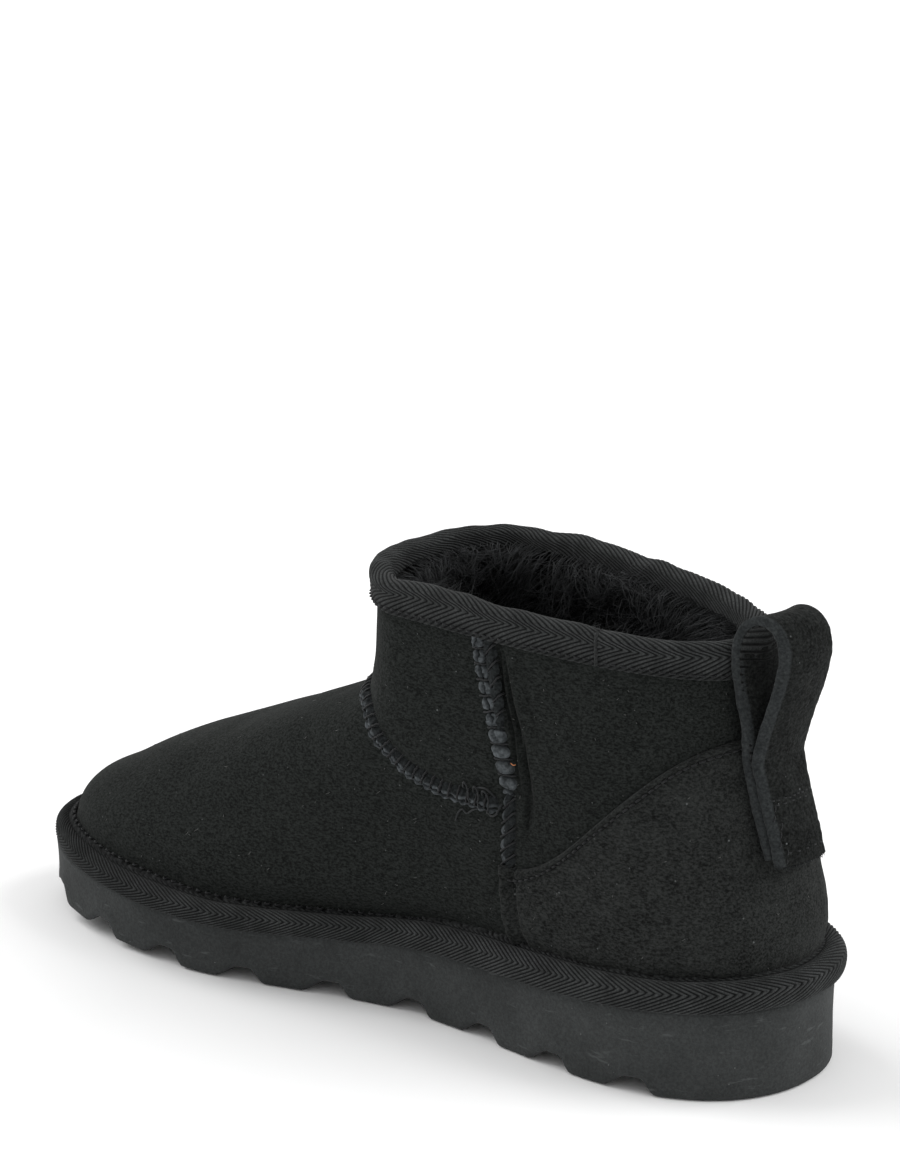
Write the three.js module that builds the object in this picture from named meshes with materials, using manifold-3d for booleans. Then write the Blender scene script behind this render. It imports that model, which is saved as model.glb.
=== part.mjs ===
// Sheepskin ankle boot, right foot, women's size 38 to 39, standing empty on its sole.
// Millimetres. x runs from heel (0) to toe (LENGTH), y to the wearer's left (the inner,
// medial side of a right boot), z up from the floor.
import * as THREE from 'three';
import Module from 'manifold-3d';
import { mergeVertices } from 'three/addons/utils/BufferGeometryUtils.js';

const wasm = await Module();
wasm.setup();

// ---- Driving dimensions ----
const LENGTH = 270; // outsole, heel to toe
const GAP = 0.3; // between pieces that meet
const UPPER_INSET = 5.2; // upper's foot line inside the outsole's edge
const WELT_OVERHANG = 2.8; // welt beyond the outsole's edge
const TOE_OVERHANG = 0.2; // the same at the tip of the toe
const TOE_FROM = 205; // x where the welt starts to draw in towards the tip
const WELT_HEIGHT = 9.6;
const WELT_LAP = 1.2; // how far the welt's inner lip stands below the row it leans on
const LEATHER_AND_FUR = 7.5; // wall of the upper: 2 mm skin and its clipped fur
const BARE_SKIN = 3.2; // wall of the upper where the fur is cut back for the binding
const TAPE = 1.2; // thickness of the collar's folded tape
const COUNTER = 1.5; // thickness of the heel counter's suede
const INSOLE = { height: 5.5, shoulder: 1.2, draft: 1.4, crown: 3 };

// ---- Faceting ----
const AROUND = 64; // points round each ring, half of them on each side
const FINE = 240; // samples that an outline is measured on before it is divided evenly

// ---- Outsole: top line (where the welt sits) and tread ----
const SOLE_TOP = [
  { x: 0, z: 27.1 },
  { x: 55, z: 24.6 },
  { x: 110, z: 21.9 },
  { x: 145, z: 18.8 },
  { x: 180, z: 16.9 },
  { x: 220, z: 18.2 },
  { x: LENGTH, z: 21.2 },
];
const TOE_SPRING = { from: 180, rise: 5, power: 1.4 };
const RIPPLE = { count: 9, first: 34.4, pitch: 27.6, mouth: 15.5, roof: 7.5, depth: 4 };
const SOLE_BEVEL = 1.6; // chamfer along the bottom edge
const SOLE_TIPS = [0.25, 1, 2.5, 5, 9, 15]; // stations near each tip, measured from it
const SOLE_STEP = { shortest: 0.6, longest: 9 }; // distance between stations

// ---- Rings of the boot, from the ground line to the collar's rim ----
// back and front: where the ring ends in x, and the heights there. heel, waist, ball:
// half-widths, as [medial, lateral], and the x where each is reached. tip: sideways
// place of the toe end. backPower, frontPower: roundness of the two end arcs.
// follow: how much of the sole's rocker the ring keeps. arch: rise of the ring's sides.
// sway: sideways place of the back and of the front.
const SOLE_RING = {
  back: 0, front: LENGTH, heel: [38.3, 37.9], heelAt: [48, 46],
  waist: [31.6, 40], waistAt: [117, 96], ball: [47.2, 52], ballAt: [197, 190],
  tip: 7.5, backPower: 2.2, frontPower: 2.16,
};
const UPPER_RINGS = [
  {
    back: 5.2, backZ: 27.2, front: 264.8, frontZ: 21.2, heel: [33.1, 32.7], heelAt: [48, 46],
    waist: [26.4, 34.8], waistAt: [117, 96], ball: [42, 46.8], ballAt: [195, 189],
    tip: 7, backPower: 2.2, frontPower: 2.16, follow: 1, arch: 0, sway: [0, 0],
  },
  {
    back: 5.2, backZ: 36.8, front: 262.2, frontZ: 30.6, heel: [33.6, 33.2], heelAt: [48, 47],
    waist: [28, 35.3], waistAt: [115, 97], ball: [42, 46.5], ballAt: [194, 188],
    tip: 7, backPower: 2.2, frontPower: 2.16, follow: 1, arch: 0, sway: [0, 0],
  },
  {
    back: 5, backZ: 49, front: 247, frontZ: 44.2, heel: [33.4, 33.2], heelAt: [51, 50],
    waist: [30.8, 35.5], waistAt: [113, 100], ball: [38.3, 42], ballAt: [184, 180],
    tip: 6.5, backPower: 2.14, frontPower: 2.06, follow: 0.5, arch: 0, sway: [0, 0],
  },
  {
    back: 7, backZ: 63, front: 228, frontZ: 56, heel: [33, 33], heelAt: [58, 57],
    waist: [32.8, 35.5], waistAt: [111, 102], ball: [34.5, 37.5], ballAt: [163, 161],
    tip: 5, backPower: 2.1, frontPower: 2, follow: 0.2, arch: 0, sway: [0, 0],
  },
  {
    back: 11, backZ: 77, front: 200, frontZ: 68.4, heel: [33.2, 33.4], heelAt: [68, 68],
    waist: [34.2, 35.4], waistAt: [110, 104], ball: [33.6, 34.4], ballAt: [140, 140],
    tip: 3, backPower: 2.1, frontPower: 2, follow: 0, arch: 0, sway: [0.4, 0],
  },
  {
    back: 14.8, backZ: 90, front: 173, frontZ: 80.2, heel: [33.6, 33.8], heelAt: [82, 82],
    waist: [34.8, 35.4], waistAt: [112, 110], ball: [34.6, 35], ballAt: [126, 126],
    tip: 1, backPower: 2.12, frontPower: 2, follow: 0, arch: 0.3, sway: [0.9, -0.5],
  },
  {
    back: 17.2, backZ: 99, front: 151.6, frontZ: 90.6, heel: [34, 34], heelAt: [94, 94],
    waist: [34.6, 34.8], waistAt: [113, 113], ball: [34.6, 34.8], ballAt: [120, 120],
    tip: 0, backPower: 2.14, frontPower: 2, follow: 0, arch: 0.6, sway: [1.3, -1],
  },
  {
    back: 19, backZ: 107.5, front: 145.6, frontZ: 102, heel: [34, 34], heelAt: [104, 104],
    waist: [34.3, 34.3], waistAt: [114, 114], ball: [34.4, 34.4], ballAt: [120, 120],
    tip: 0, backPower: 2.16, frontPower: 2, follow: 0, arch: 0.9, sway: [1.6, -1.5],
  },
  {
    back: 20.4, backZ: 117, front: 144.4, frontZ: 121.6, heel: [33.9, 33.9], heelAt: [110, 110],
    waist: [34, 34], waistAt: [116, 116], ball: [34.1, 34.1], ballAt: [121, 121],
    tip: 0, backPower: 2.18, frontPower: 2, follow: 0, arch: 1.2, sway: [1.8, -1.8],
  },
  {
    back: 20.8, backZ: 125, front: 144.2, frontZ: 129.6, heel: [34, 34], heelAt: [112, 112],
    waist: [34.1, 34.1], waistAt: [117, 117], ball: [34.1, 34.1], ballAt: [122, 122],
    tip: 0, backPower: 2.2, frontPower: 2, follow: 0, arch: 1.4, sway: [1.8, -1.8],
  },
];
// Facet rings between one row of UPPER_RINGS and the next.
const RING_STEPS = [1, 3, 3, 3, 2, 2, 2, 2, 1];
const WELT_ROW = 1; // row that the welt's top edge lies on
const BINDING_ROW = 8; // row that the binding's lower edge lies on

// ---- Heel counter, as seen from the side ----
const COUNTER_TOP = [
  { x: 15, z: 101 },
  { x: 26, z: 100 },
  { x: 34, z: 96 },
  { x: 42.6, z: 87 },
  { x: 50.4, z: 77.3 },
  { x: 59.7, z: 68.2 },
  { x: 73.8, z: 59.7 },
  { x: 85, z: 55.4 },
];
const COUNTER_FOOT = { steps: 10, behind: -20 }; // lower edge; behind: x well past the heel

// ---- Pull tab: a strap folded into a loop and sewn flat below it ----
// aside: its middle lies off the boot's middle. off: its clearance to the upper. bendLow,
// bendHigh: how it wraps round the heel. power, swell: roundness of the loop's drop shape.
const TAB = {
  width: 19, layer: 3.2, bottom: 68.5, pinch: 94, aside: 4, off: 2.4, bendLow: 0.016, bendHigh: 0.02,
  loopWidth: 19, loopHeight: 47, lean: -0.05, power: 2.2, swell: 1.55,
};
// The loop's opening, in thicknesses of the strap: how much narrower and lower it is than
// the loop, and how far it stands above the loop's foot.
const TAB_HOLE = { narrower: 2.1, lower: 2.9, raised: 1.9 };
const TAB_PARTS = { across: 4, down: 8, round: 28 };

// ---- Materials ----
const SUEDE = new THREE.MeshStandardMaterial({ color: 0x1b1c1d, roughness: 0.92, metalness: 0 });
const ROUGH_SUEDE = new THREE.MeshStandardMaterial({ color: 0x212223, roughness: 0.96, metalness: 0 });
const TAPE_CLOTH = new THREE.MeshStandardMaterial({ color: 0x17181a, roughness: 0.85, metalness: 0 });
const FOAM = new THREE.MeshStandardMaterial({ color: 0x232527, roughness: 0.8, metalness: 0 });
const FUR = new THREE.MeshStandardMaterial({ color: 0x131313, roughness: 1, metalness: 0 });

// ---- Curves ----
const mix = (a, b, t) => a + (b - a) * t;
const ease = (t) => t * t * (3 - 2 * t);
const arc = (t, power) => Math.max(0, 1 - t ** power) ** (1 / power);

// A smooth line through four values, between the middle two.
function through(a, b, c, d, t) {
  const slopeB = (c - a) / 2;
  const slopeC = (d - b) / 2;
  const t2 = t * t;
  const t3 = t2 * t;
  return b * (2 * t3 - 3 * t2 + 1) + slopeB * (t3 - 2 * t2 + t)
    + c * (3 * t2 - 2 * t3) + slopeC * (t3 - t2);
}

// The same for two whole rows: numbers, and pairs of numbers.
function rowThrough(rows, index, t) {
  const last = rows.length - 1;
  const [a, b, c, d] = [-1, 0, 1, 2].map((k) => rows[THREE.MathUtils.clamp(index + k, 0, last)]);
  const row = {};
  for (const key of Object.keys(b)) {
    row[key] = Array.isArray(b[key])
      ? b[key].map((value, side) => through(a[key][side], value, c[key][side], d[key][side], t))
      : through(a[key], b[key], c[key], d[key], t);
  }
  return row;
}

function soleTop(x) {
  const last = SOLE_TOP.length - 2;
  let i = SOLE_TOP.findIndex((row) => row.x > x) - 1;
  i = i < 0 ? (x <= 0 ? 0 : last) : i;
  const t = THREE.MathUtils.clamp((x - SOLE_TOP[i].x) / (SOLE_TOP[i + 1].x - SOLE_TOP[i].x), 0, 1);
  return rowThrough(SOLE_TOP, i, t).z;
}

// Half-width of a ring on one side (0 medial, 1 lateral): heel arc, waist, ball, toe arc.
function halfWidth(ring, side, x) {
  const heel = ring.heel[side];
  const waist = ring.waist[side];
  const ball = ring.ball[side];
  const heelAt = ring.heelAt[side];
  const waistAt = ring.waistAt[side];
  const ballAt = ring.ballAt[side];
  const tip = side === 0 ? ring.tip : -ring.tip;
  if (x <= heelAt) return heel * arc((heelAt - x) / (heelAt - ring.back), ring.backPower);
  if (x <= waistAt) return mix(heel, waist, ease((x - heelAt) / (waistAt - heelAt)));
  if (x <= ballAt) return mix(waist, ball, ease((x - waistAt) / (ballAt - waistAt)));
  return tip + (ball - tip) * arc((x - ballAt) / (ring.front - ballAt), ring.frontPower);
}

// One side of a ring from heel to toe, divided evenly along its length.
function sideLine(ring, side, parts) {
  const sign = side === 0 ? 1 : -1;
  const fine = [];
  for (let i = 0; i <= FINE; i++) {
    const x = mix(ring.back, ring.front, (1 - Math.cos((Math.PI * i) / FINE)) / 2);
    fine.push(new THREE.Vector2(x, sign * halfWidth(ring, side, x)));
  }
  const run = [0];
  for (let i = 1; i <= FINE; i++) run.push(run[i - 1] + fine[i].distanceTo(fine[i - 1]));
  const line = [];
  let at = 0;
  for (let k = 0; k <= parts; k++) {
    const want = (run[FINE] * k) / parts;
    while (at < FINE - 1 && run[at + 1] < want) at++;
    line.push(fine[at].clone().lerp(fine[at + 1], (want - run[at]) / (run[at + 1] - run[at])));
  }
  return line;
}

// A closed ring of points in space: out along the lateral side, back along the medial.
function ringLoop(ring) {
  const medial = sideLine(ring, 0, AROUND / 2);
  const lateral = sideLine(ring, 1, AROUND / 2);
  const flat = [...lateral, ...medial.slice(1, -1).reverse()];
  return flat.map(({ x, y }) => {
    const t = (x - ring.back) / (ring.front - ring.back);
    const rocker = soleTop(x) - mix(soleTop(ring.back), soleTop(ring.front), t);
    const z = mix(ring.backZ, ring.frontZ, t) + ring.follow * rocker + ring.arch * 4 * t * (1 - t);
    return new THREE.Vector3(x, y + mix(ring.sway[0], ring.sway[1], t), z);
  });
}

// ---- Bodies from loops of points ----
const toGeometry = (positions, indices) => {
  const geometry = new THREE.BufferGeometry();
  geometry.setAttribute('position', new THREE.Float32BufferAttribute(positions, 3));
  geometry.setIndex(indices);
  return geometry;
};

// Joins each loop to the next, and, on a hoop, the last to the first.
function wallIndices(rows, around, closed) {
  const indices = [];
  for (let j = 0; j < (closed ? rows : rows - 1); j++) {
    const next = (j + 1) % rows;
    for (let i = 0; i < around; i++) {
      const k = (i + 1) % around;
      const [a, b, c, d] = [j * around + i, j * around + k, next * around + k, next * around + i];
      indices.push(a, b, c, a, c, d);
    }
  }
  return indices;
}

function hoop(loops) {
  const positions = loops.flat().flatMap((p) => p.toArray());
  return toGeometry(positions, wallIndices(loops.length, loops[0].length, true));
}

// A stack of rings closed by strips that run across the first and the last of them.
function stack(loops) {
  const around = loops[0].length;
  const indices = wallIndices(loops.length, around, false);
  const top = (loops.length - 1) * around;
  for (let i = 0; i < around / 2; i++) {
    const [a, b, c, d] = [i, i + 1, around - i - 1, (around - i) % around];
    for (const [p, q, r] of [[a, b, c], [a, c, d]]) {
      if (p === q || q === r || r === p) continue;
      indices.push(r, q, p, top + p, top + q, top + r);
    }
  }
  return toGeometry(loops.flat().flatMap((p) => p.toArray()), indices);
}

function toSolid(geometry) {
  const bare = geometry.clone();
  bare.deleteAttribute('normal');
  bare.deleteAttribute('uv');
  const merged = mergeVertices(bare, 1e-4);
  return new wasm.Manifold(new wasm.Mesh({
    numProp: 3,
    vertProperties: new Float32Array(merged.attributes.position.array),
    triVerts: new Uint32Array(merged.index.array),
  }));
}

function fromSolid(solid) {
  const mesh = solid.getMesh();
  return toGeometry([...mesh.vertProperties], [...mesh.triVerts]);
}

// ---- The upper's outer form ----
function outwardNormals(loops) {
  return loops.map((loop, j) => loop.map((_, i) => {
    const along = loop[(i + 1) % loop.length].clone().sub(loop[(i + loop.length - 1) % loop.length]);
    const below = loops[Math.max(j - 1, 0)][i];
    const above = loops[Math.min(j + 1, loops.length - 1)][i];
    const normal = above.clone().sub(below).cross(along).negate();
    if (j === 0 || j === loops.length - 1) normal.z = 0;
    return normal.normalize();
  }));
}

const upperLoops = [];
const loopRows = []; // which row of UPPER_RINGS each loop stands at, as a fraction
RING_STEPS.forEach((steps, index) => {
  for (let k = 0; k < steps; k++) {
    upperLoops.push(ringLoop(rowThrough(UPPER_RINGS, index, k / steps)));
    loopRows.push(index + k / steps);
  }
});
upperLoops.push(ringLoop(UPPER_RINGS.at(-1)));
loopRows.push(UPPER_RINGS.length - 1);
const normals = outwardNormals(upperLoops);

const offsetLoop = (j, distance, rise = 0) => upperLoops[j].map((p, i) => {
  const moved = p.clone().addScaledVector(normals[j][i], distance);
  return moved.setZ(moved.z + rise);
});

// The foot line moved sideways and set at a height above the outsole's top.
const soleLoop = (distance, height) => offsetLoop(0, distance).map((p) => p.setZ(soleTop(p.x) + height));

// ---- Pieces ----
const sheepskinWall = (row) => {
  if (row >= BINDING_ROW) return BARE_SKIN;
  return mix(LEATHER_AND_FUR, BARE_SKIN, ease(THREE.MathUtils.clamp(row - BINDING_ROW + 1, 0, 1)));
};

function makeUpper() {
  const outside = upperLoops.map((_, j) => offsetLoop(j, 0));
  const inside = upperLoops.map((_, j) => offsetLoop(j, -sheepskinWall(loopRows[j])));
  return hoop([...outside, ...inside.reverse()]);
}

// Wave tread: a trapezoid groove across the whole width, repeated along the sole.
function treadHeight(x) {
  const past = Math.max(0, (x - TOE_SPRING.from) / (LENGTH - TOE_SPRING.from));
  const spring = TOE_SPRING.rise * past ** TOE_SPRING.power;
  const { count, first, pitch, mouth, roof, depth } = RIPPLE;
  const nearest = THREE.MathUtils.clamp(Math.round((x - first) / pitch), 0, count - 1);
  const away = Math.abs(x - first - nearest * pitch);
  const share = THREE.MathUtils.clamp((mouth / 2 - away) / ((mouth - roof) / 2), 0, 1);
  return spring + depth * share;
}

function soleStations() {
  const stations = [];
  for (let i = 0; i < RIPPLE.count; i++) {
    const centre = RIPPLE.first + i * RIPPLE.pitch;
    for (const half of [-RIPPLE.mouth / 2, -RIPPLE.roof / 2, RIPPLE.roof / 2, RIPPLE.mouth / 2]) {
      stations.push(centre + half);
    }
  }
  for (const tip of SOLE_TIPS) stations.push(tip, LENGTH - tip);
  stations.sort((a, b) => a - b);
  for (let i = stations.length - 1; i > 0; i--) {
    const width = stations[i] - stations[i - 1];
    if (width > SOLE_STEP.longest) stations.splice(i, 0, (stations[i] + stations[i - 1]) / 2);
    if (width < SOLE_STEP.shortest) stations.splice(i, 1);
  }
  return stations;
}

function makeOutsole() {
  const sections = soleStations().map((x) => {
    const [left, right] = [halfWidth(SOLE_RING, 0, x), -halfWidth(SOLE_RING, 1, x)];
    const [top, bottom] = [soleTop(x), treadHeight(x)];
    const bevel = Math.min(SOLE_BEVEL, (left - right) / 4);
    return [
      [left, top], [right, top], [right, bottom + bevel], [right + bevel, bottom],
      [left - bevel, bottom], [left, bottom + bevel],
    ].map(([y, z]) => new THREE.Vector3(x, y, z));
  });
  return loft(sections);
}

// Sections one behind the other along x, closed by a fan at each end.
function loft(sections) {
  const around = sections[0].length;
  const indices = wallIndices(sections.length, around, false);
  const last = (sections.length - 1) * around;
  for (let i = 1; i < around - 1; i++) indices.push(0, i + 1, i, last, last + i, last + i + 1);
  return toGeometry(sections.flat().flatMap((p) => p.toArray()), indices);
}

function makeInsole() {
  const rim = -LEATHER_AND_FUR - 2 * GAP;
  return stack([
    soleLoop(rim, GAP),
    soleLoop(rim - INSOLE.draft, GAP + INSOLE.height - INSOLE.shoulder),
    soleLoop(rim - INSOLE.crown, GAP + INSOLE.height),
  ]);
}

// A cord under cloth tape, laid round the foot line on the outsole's edge. Its section runs
// from under the upper's edge out and over to a lip that leans on the upper. reach: share of
// the way out from the foot line. inset: back from there. height: share of the welt's height.
const WELT_SECTION = [
  { reach: 0, inset: -GAP, height: GAP / WELT_HEIGHT },
  { reach: 1, inset: 1.4, height: GAP / WELT_HEIGHT },
  { reach: 1, inset: 0, height: 0.2 },
  { reach: 1, inset: 0, height: 0.62 },
  { reach: 1, inset: 2, height: 0.95 },
  { reach: 0.45, inset: 0, height: 1 },
];

function makeWelt() {
  const edge = (p) => {
    const toe = ease(THREE.MathUtils.clamp((p.x - TOE_FROM) / (LENGTH - UPPER_INSET - TOE_FROM), 0, 1));
    return UPPER_INSET + mix(WELT_OVERHANG, TOE_OVERHANG, toe);
  };
  const loops = WELT_SECTION.map(({ reach, inset, height }) => offsetLoop(0, 0).map((p, i) => {
    const moved = p.addScaledVector(normals[0][i], reach * edge(p) - inset);
    return moved.setZ(soleTop(moved.x) + height * WELT_HEIGHT);
  }));
  return hoop([...loops, offsetLoop(loopRows.indexOf(WELT_ROW), 2 * GAP, -WELT_LAP)]);
}

// Tape folded over the rim: a U section that leaves the skin's edge GAP on every side.
function makeBinding() {
  const low = loopRows.indexOf(BINDING_ROW);
  const rim = upperLoops.length - 1;
  const outside = GAP + TAPE;
  const inside = -BARE_SKIN - GAP - TAPE;
  const [rounding, shoulder, crown] = [1, GAP + 0.8 * TAPE, GAP + 1.2 * TAPE];
  return hoop([
    offsetLoop(low, GAP),
    offsetLoop(low, outside),
    offsetLoop(rim, outside),
    offsetLoop(rim, outside - rounding, shoulder),
    offsetLoop(rim, -BARE_SKIN / 2, crown),
    offsetLoop(rim, inside + rounding, shoulder),
    offsetLoop(rim, inside),
    offsetLoop(low, inside),
    offsetLoop(low, inside + TAPE),
    offsetLoop(rim, inside + TAPE, GAP),
    offsetLoop(rim, GAP, GAP),
  ]);
}

const enlarged = (distance) => toSolid(stack(upperLoops.map((_, j) => offsetLoop(j, distance))));

function prismAcross(points, width) {
  const geometry = new THREE.ExtrudeGeometry(new THREE.Shape(points), { depth: width, bevelEnabled: false });
  geometry.rotateX(Math.PI / 2);
  geometry.translate(0, width / 2, 0);
  return geometry;
}

// The counter lies between two enlarged copies of the upper's form, inside a side outline.
function makeCounter() {
  const { steps, behind } = COUNTER_FOOT;
  const front = COUNTER_TOP.at(-1).x;
  const lowest = (x) => soleTop(x) + WELT_HEIGHT + 2 * GAP;
  const outline = [new THREE.Vector2(behind, COUNTER_TOP[0].z)];
  for (const { x, z } of COUNTER_TOP) outline.push(new THREE.Vector2(x, z));
  for (let i = steps; i >= 0; i--) {
    const x = (front * i) / steps;
    outline.push(new THREE.Vector2(x, lowest(x)));
  }
  outline.push(new THREE.Vector2(behind, lowest(0)));
  const shell = enlarged(GAP + COUNTER).subtract(enlarged(GAP));
  return fromSolid(shell.intersect(toSolid(prismAcross(outline, 2 * LENGTH))));
}

// Back line of the upper at a height, from its rings.
function heelLine(z) {
  const backs = upperLoops.map((loop) => loop[0]);
  const j = THREE.MathUtils.clamp(backs.findIndex((p) => p.z > z), 1, backs.length - 1);
  const t = THREE.MathUtils.clamp((z - backs[j - 1].z) / (backs[j].z - backs[j - 1].z), 0, 1);
  return mix(backs[j - 1].x, backs[j].x, t);
}

// A drop: round above, drawn to a point below, its axis leaning back.
function drop(foot, wide, high, lift) {
  return Array.from({ length: TAB_PARTS.round }, (_, i) => {
    const turn = (2 * Math.PI * i) / TAB_PARTS.round;
    const up = lift + (high * (1 - Math.cos(turn))) / 2;
    const fullness = TAB.swell * Math.abs(Math.sin(turn / 2)) ** TAB.power;
    const out = (wide / 2) * Math.sin(turn) * fullness;
    return new THREE.Vector2(foot.x + out + TAB.lean * up, foot.y + up);
  });
}

// A side outline made as wide as the strap and wrapped round the heel.
function strapSolid(shape) {
  const { width, bottom, pinch, aside, bendLow, bendHigh } = TAB;
  const settings = { depth: width, steps: TAB_PARTS.across, bevelEnabled: false };
  const geometry = new THREE.ExtrudeGeometry(shape, settings);
  geometry.rotateX(Math.PI / 2);
  geometry.translate(0, width / 2, 0);
  const place = geometry.attributes.position;
  for (let i = 0; i < place.count; i++) {
    const up = THREE.MathUtils.clamp((place.getZ(i) - bottom) / (2 * (pinch - bottom)), 0, 1);
    place.setY(i, place.getY(i) + aside);
    place.setX(i, place.getX(i) + mix(bendLow, bendHigh, up) * place.getY(i) ** 2);
  }
  return toSolid(geometry);
}

function makePullTab() {
  const { layer, bottom, pinch, loopWidth, loopHeight, off } = TAB;
  const front = (z) => heelLine(z) - off;
  const { down } = TAB_PARTS;
  const heights = Array.from({ length: down + 1 }, (_, i) => mix(bottom, pinch, i / down));
  const sewn = new THREE.Shape([
    ...heights.map((z) => new THREE.Vector2(front(z), z)),
    ...heights.reverse().map((z) => new THREE.Vector2(front(z) - 2 * layer, z)),
  ]);
  const foot = new THREE.Vector2(front(pinch) - layer, pinch - layer);
  const { narrower, lower, raised } = TAB_HOLE;
  const loop = new THREE.Shape(drop(foot, loopWidth, loopHeight, 0));
  const opening = drop(foot, loopWidth - narrower * layer, loopHeight - lower * layer, raised * layer);
  loop.holes.push(new THREE.Path(opening));
  return fromSolid(strapSolid(sewn).add(strapSolid(loop)));
}

// ---- Assembly, stood on the floor with its box centred on the origin ----
const boot = new THREE.Group();
const piece = (name, geometry, material) => {
  const mesh = new THREE.Mesh(geometry, material);
  mesh.name = name;
  boot.add(mesh);
};

piece('outsole', makeOutsole(), FOAM);
piece('insole', makeInsole(), FUR);
piece('upper', makeUpper(), SUEDE);
piece('welt', makeWelt(), TAPE_CLOTH);
piece('heel_counter', makeCounter(), ROUGH_SUEDE);
piece('collar_binding', makeBinding(), TAPE_CLOTH);
piece('pull_tab', makePullTab(), ROUGH_SUEDE);

const box = new THREE.Box3().setFromObject(boot);
const middle = box.getCenter(new THREE.Vector3());
boot.position.set(-middle.x, -middle.y, -box.min.z);
boot.updateMatrixWorld(true);

export default boot;
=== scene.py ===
# Sheepskin ankle boot, right foot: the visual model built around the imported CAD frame.
import math

import bpy
import numpy as np
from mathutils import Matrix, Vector


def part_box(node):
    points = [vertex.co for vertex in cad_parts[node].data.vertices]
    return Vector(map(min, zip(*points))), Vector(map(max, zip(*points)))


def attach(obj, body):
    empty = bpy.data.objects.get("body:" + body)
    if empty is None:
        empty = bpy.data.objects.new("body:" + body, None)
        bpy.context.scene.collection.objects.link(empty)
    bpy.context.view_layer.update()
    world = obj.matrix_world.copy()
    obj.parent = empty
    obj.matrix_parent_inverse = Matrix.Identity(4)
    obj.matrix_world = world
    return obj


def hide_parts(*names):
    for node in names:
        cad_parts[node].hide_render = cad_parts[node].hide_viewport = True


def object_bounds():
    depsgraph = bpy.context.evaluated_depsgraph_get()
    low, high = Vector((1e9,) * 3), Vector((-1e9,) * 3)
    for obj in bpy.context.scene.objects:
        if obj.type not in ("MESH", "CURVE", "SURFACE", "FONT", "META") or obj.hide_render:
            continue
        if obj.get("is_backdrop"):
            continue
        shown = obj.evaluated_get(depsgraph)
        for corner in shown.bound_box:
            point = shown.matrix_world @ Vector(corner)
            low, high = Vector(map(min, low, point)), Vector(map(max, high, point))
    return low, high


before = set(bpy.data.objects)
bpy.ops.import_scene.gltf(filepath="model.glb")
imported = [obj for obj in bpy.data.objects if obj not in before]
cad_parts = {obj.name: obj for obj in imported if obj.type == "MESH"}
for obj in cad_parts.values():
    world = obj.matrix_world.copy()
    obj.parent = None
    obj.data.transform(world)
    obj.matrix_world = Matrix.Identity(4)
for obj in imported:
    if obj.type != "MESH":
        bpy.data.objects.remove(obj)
cad_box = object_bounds()

# ---- The boot's own frame: millimetres, x from heel to toe, y to the inner side, z up ----
MM = 0.001
HEEL_STATION = 0.25  # boot x of the outsole's rearmost face
BALL_EDGE = 47.2  # boot y of the outsole's widest point on the inner side
outsole_low, outsole_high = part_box("outsole")
ORIGIN = np.array([outsole_low.x / MM - HEEL_STATION, outsole_high.y / MM - BALL_EDGE, 0.0])


def to_row(points):
    """Boot millimetres to metres in the row frame."""
    return (np.asarray(points, float) + ORIGIN) * MM


# ---- Driving dimensions ----
LENGTH = 270.0
UPPER_INSET = 5.2
WELT_OVERHANG = 2.8
TOE_OVERHANG = 0.2
TOE_FROM = 205.0
WALL = 7.5  # leather and its fur
BARE_SKIN = 3.2  # leather where the fur is cut back under the binding
INNER_SHORT = 1.0  # the fur's inner surface stops this far short of the full wall
COUNTER = 1.5  # the counter's thickness
GAP = 0.3  # between pieces that lie on each other
TOP_ROW = 9  # the collar's rim
BINDING_ROW = 8
DEEP_ROW = 6  # below this the inner wall shows as fur, above it as a dark base painted with the shade between the collar's strands
ROW_HEIGHT = 13.0  # of the shaft's rows, about
GIRTH = 420.0  # around the upper, about
RIM_CLIMB = 10.0  # height for each row counted beyond the rim
CORNER_ROUNDING = 9  # points over which a line's corners are rounded

# Top line of the outsole: x, z.
SOLE_TOP = np.array([
    (0, 27.1), (55, 24.6), (110, 21.9), (145, 18.8), (180, 16.9), (220, 18.2), (LENGTH, 21.2),
])
TOE_SPRING = dict(start=180.0, rise=5.0, power=1.4)
# Waves of the tread: each groove has a steep flank towards the heel and an easy one towards the toe.
RIPPLE = dict(count=9, first=34.4, pitch=27.6, roof=4.0, steep=4.5, easy=8.5, depth=4.2)

RING_COLUMNS = (
    "back back_z front front_z heel_m heel_l heel_at_m heel_at_l waist_m waist_l waist_at_m"
    " waist_at_l ball_m ball_l ball_at_m ball_at_l tip back_power front_power follow arch"
    " sway_back sway_front"
).split()
SOLE_RING = (
    0, 0, LENGTH, 0, 38.3, 37.9, 48, 46, 31.6, 40, 117, 96, 47.2, 52, 197, 190,
    7.5, 2.2, 2.16, 0, 0, 0, 0,
)
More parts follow.
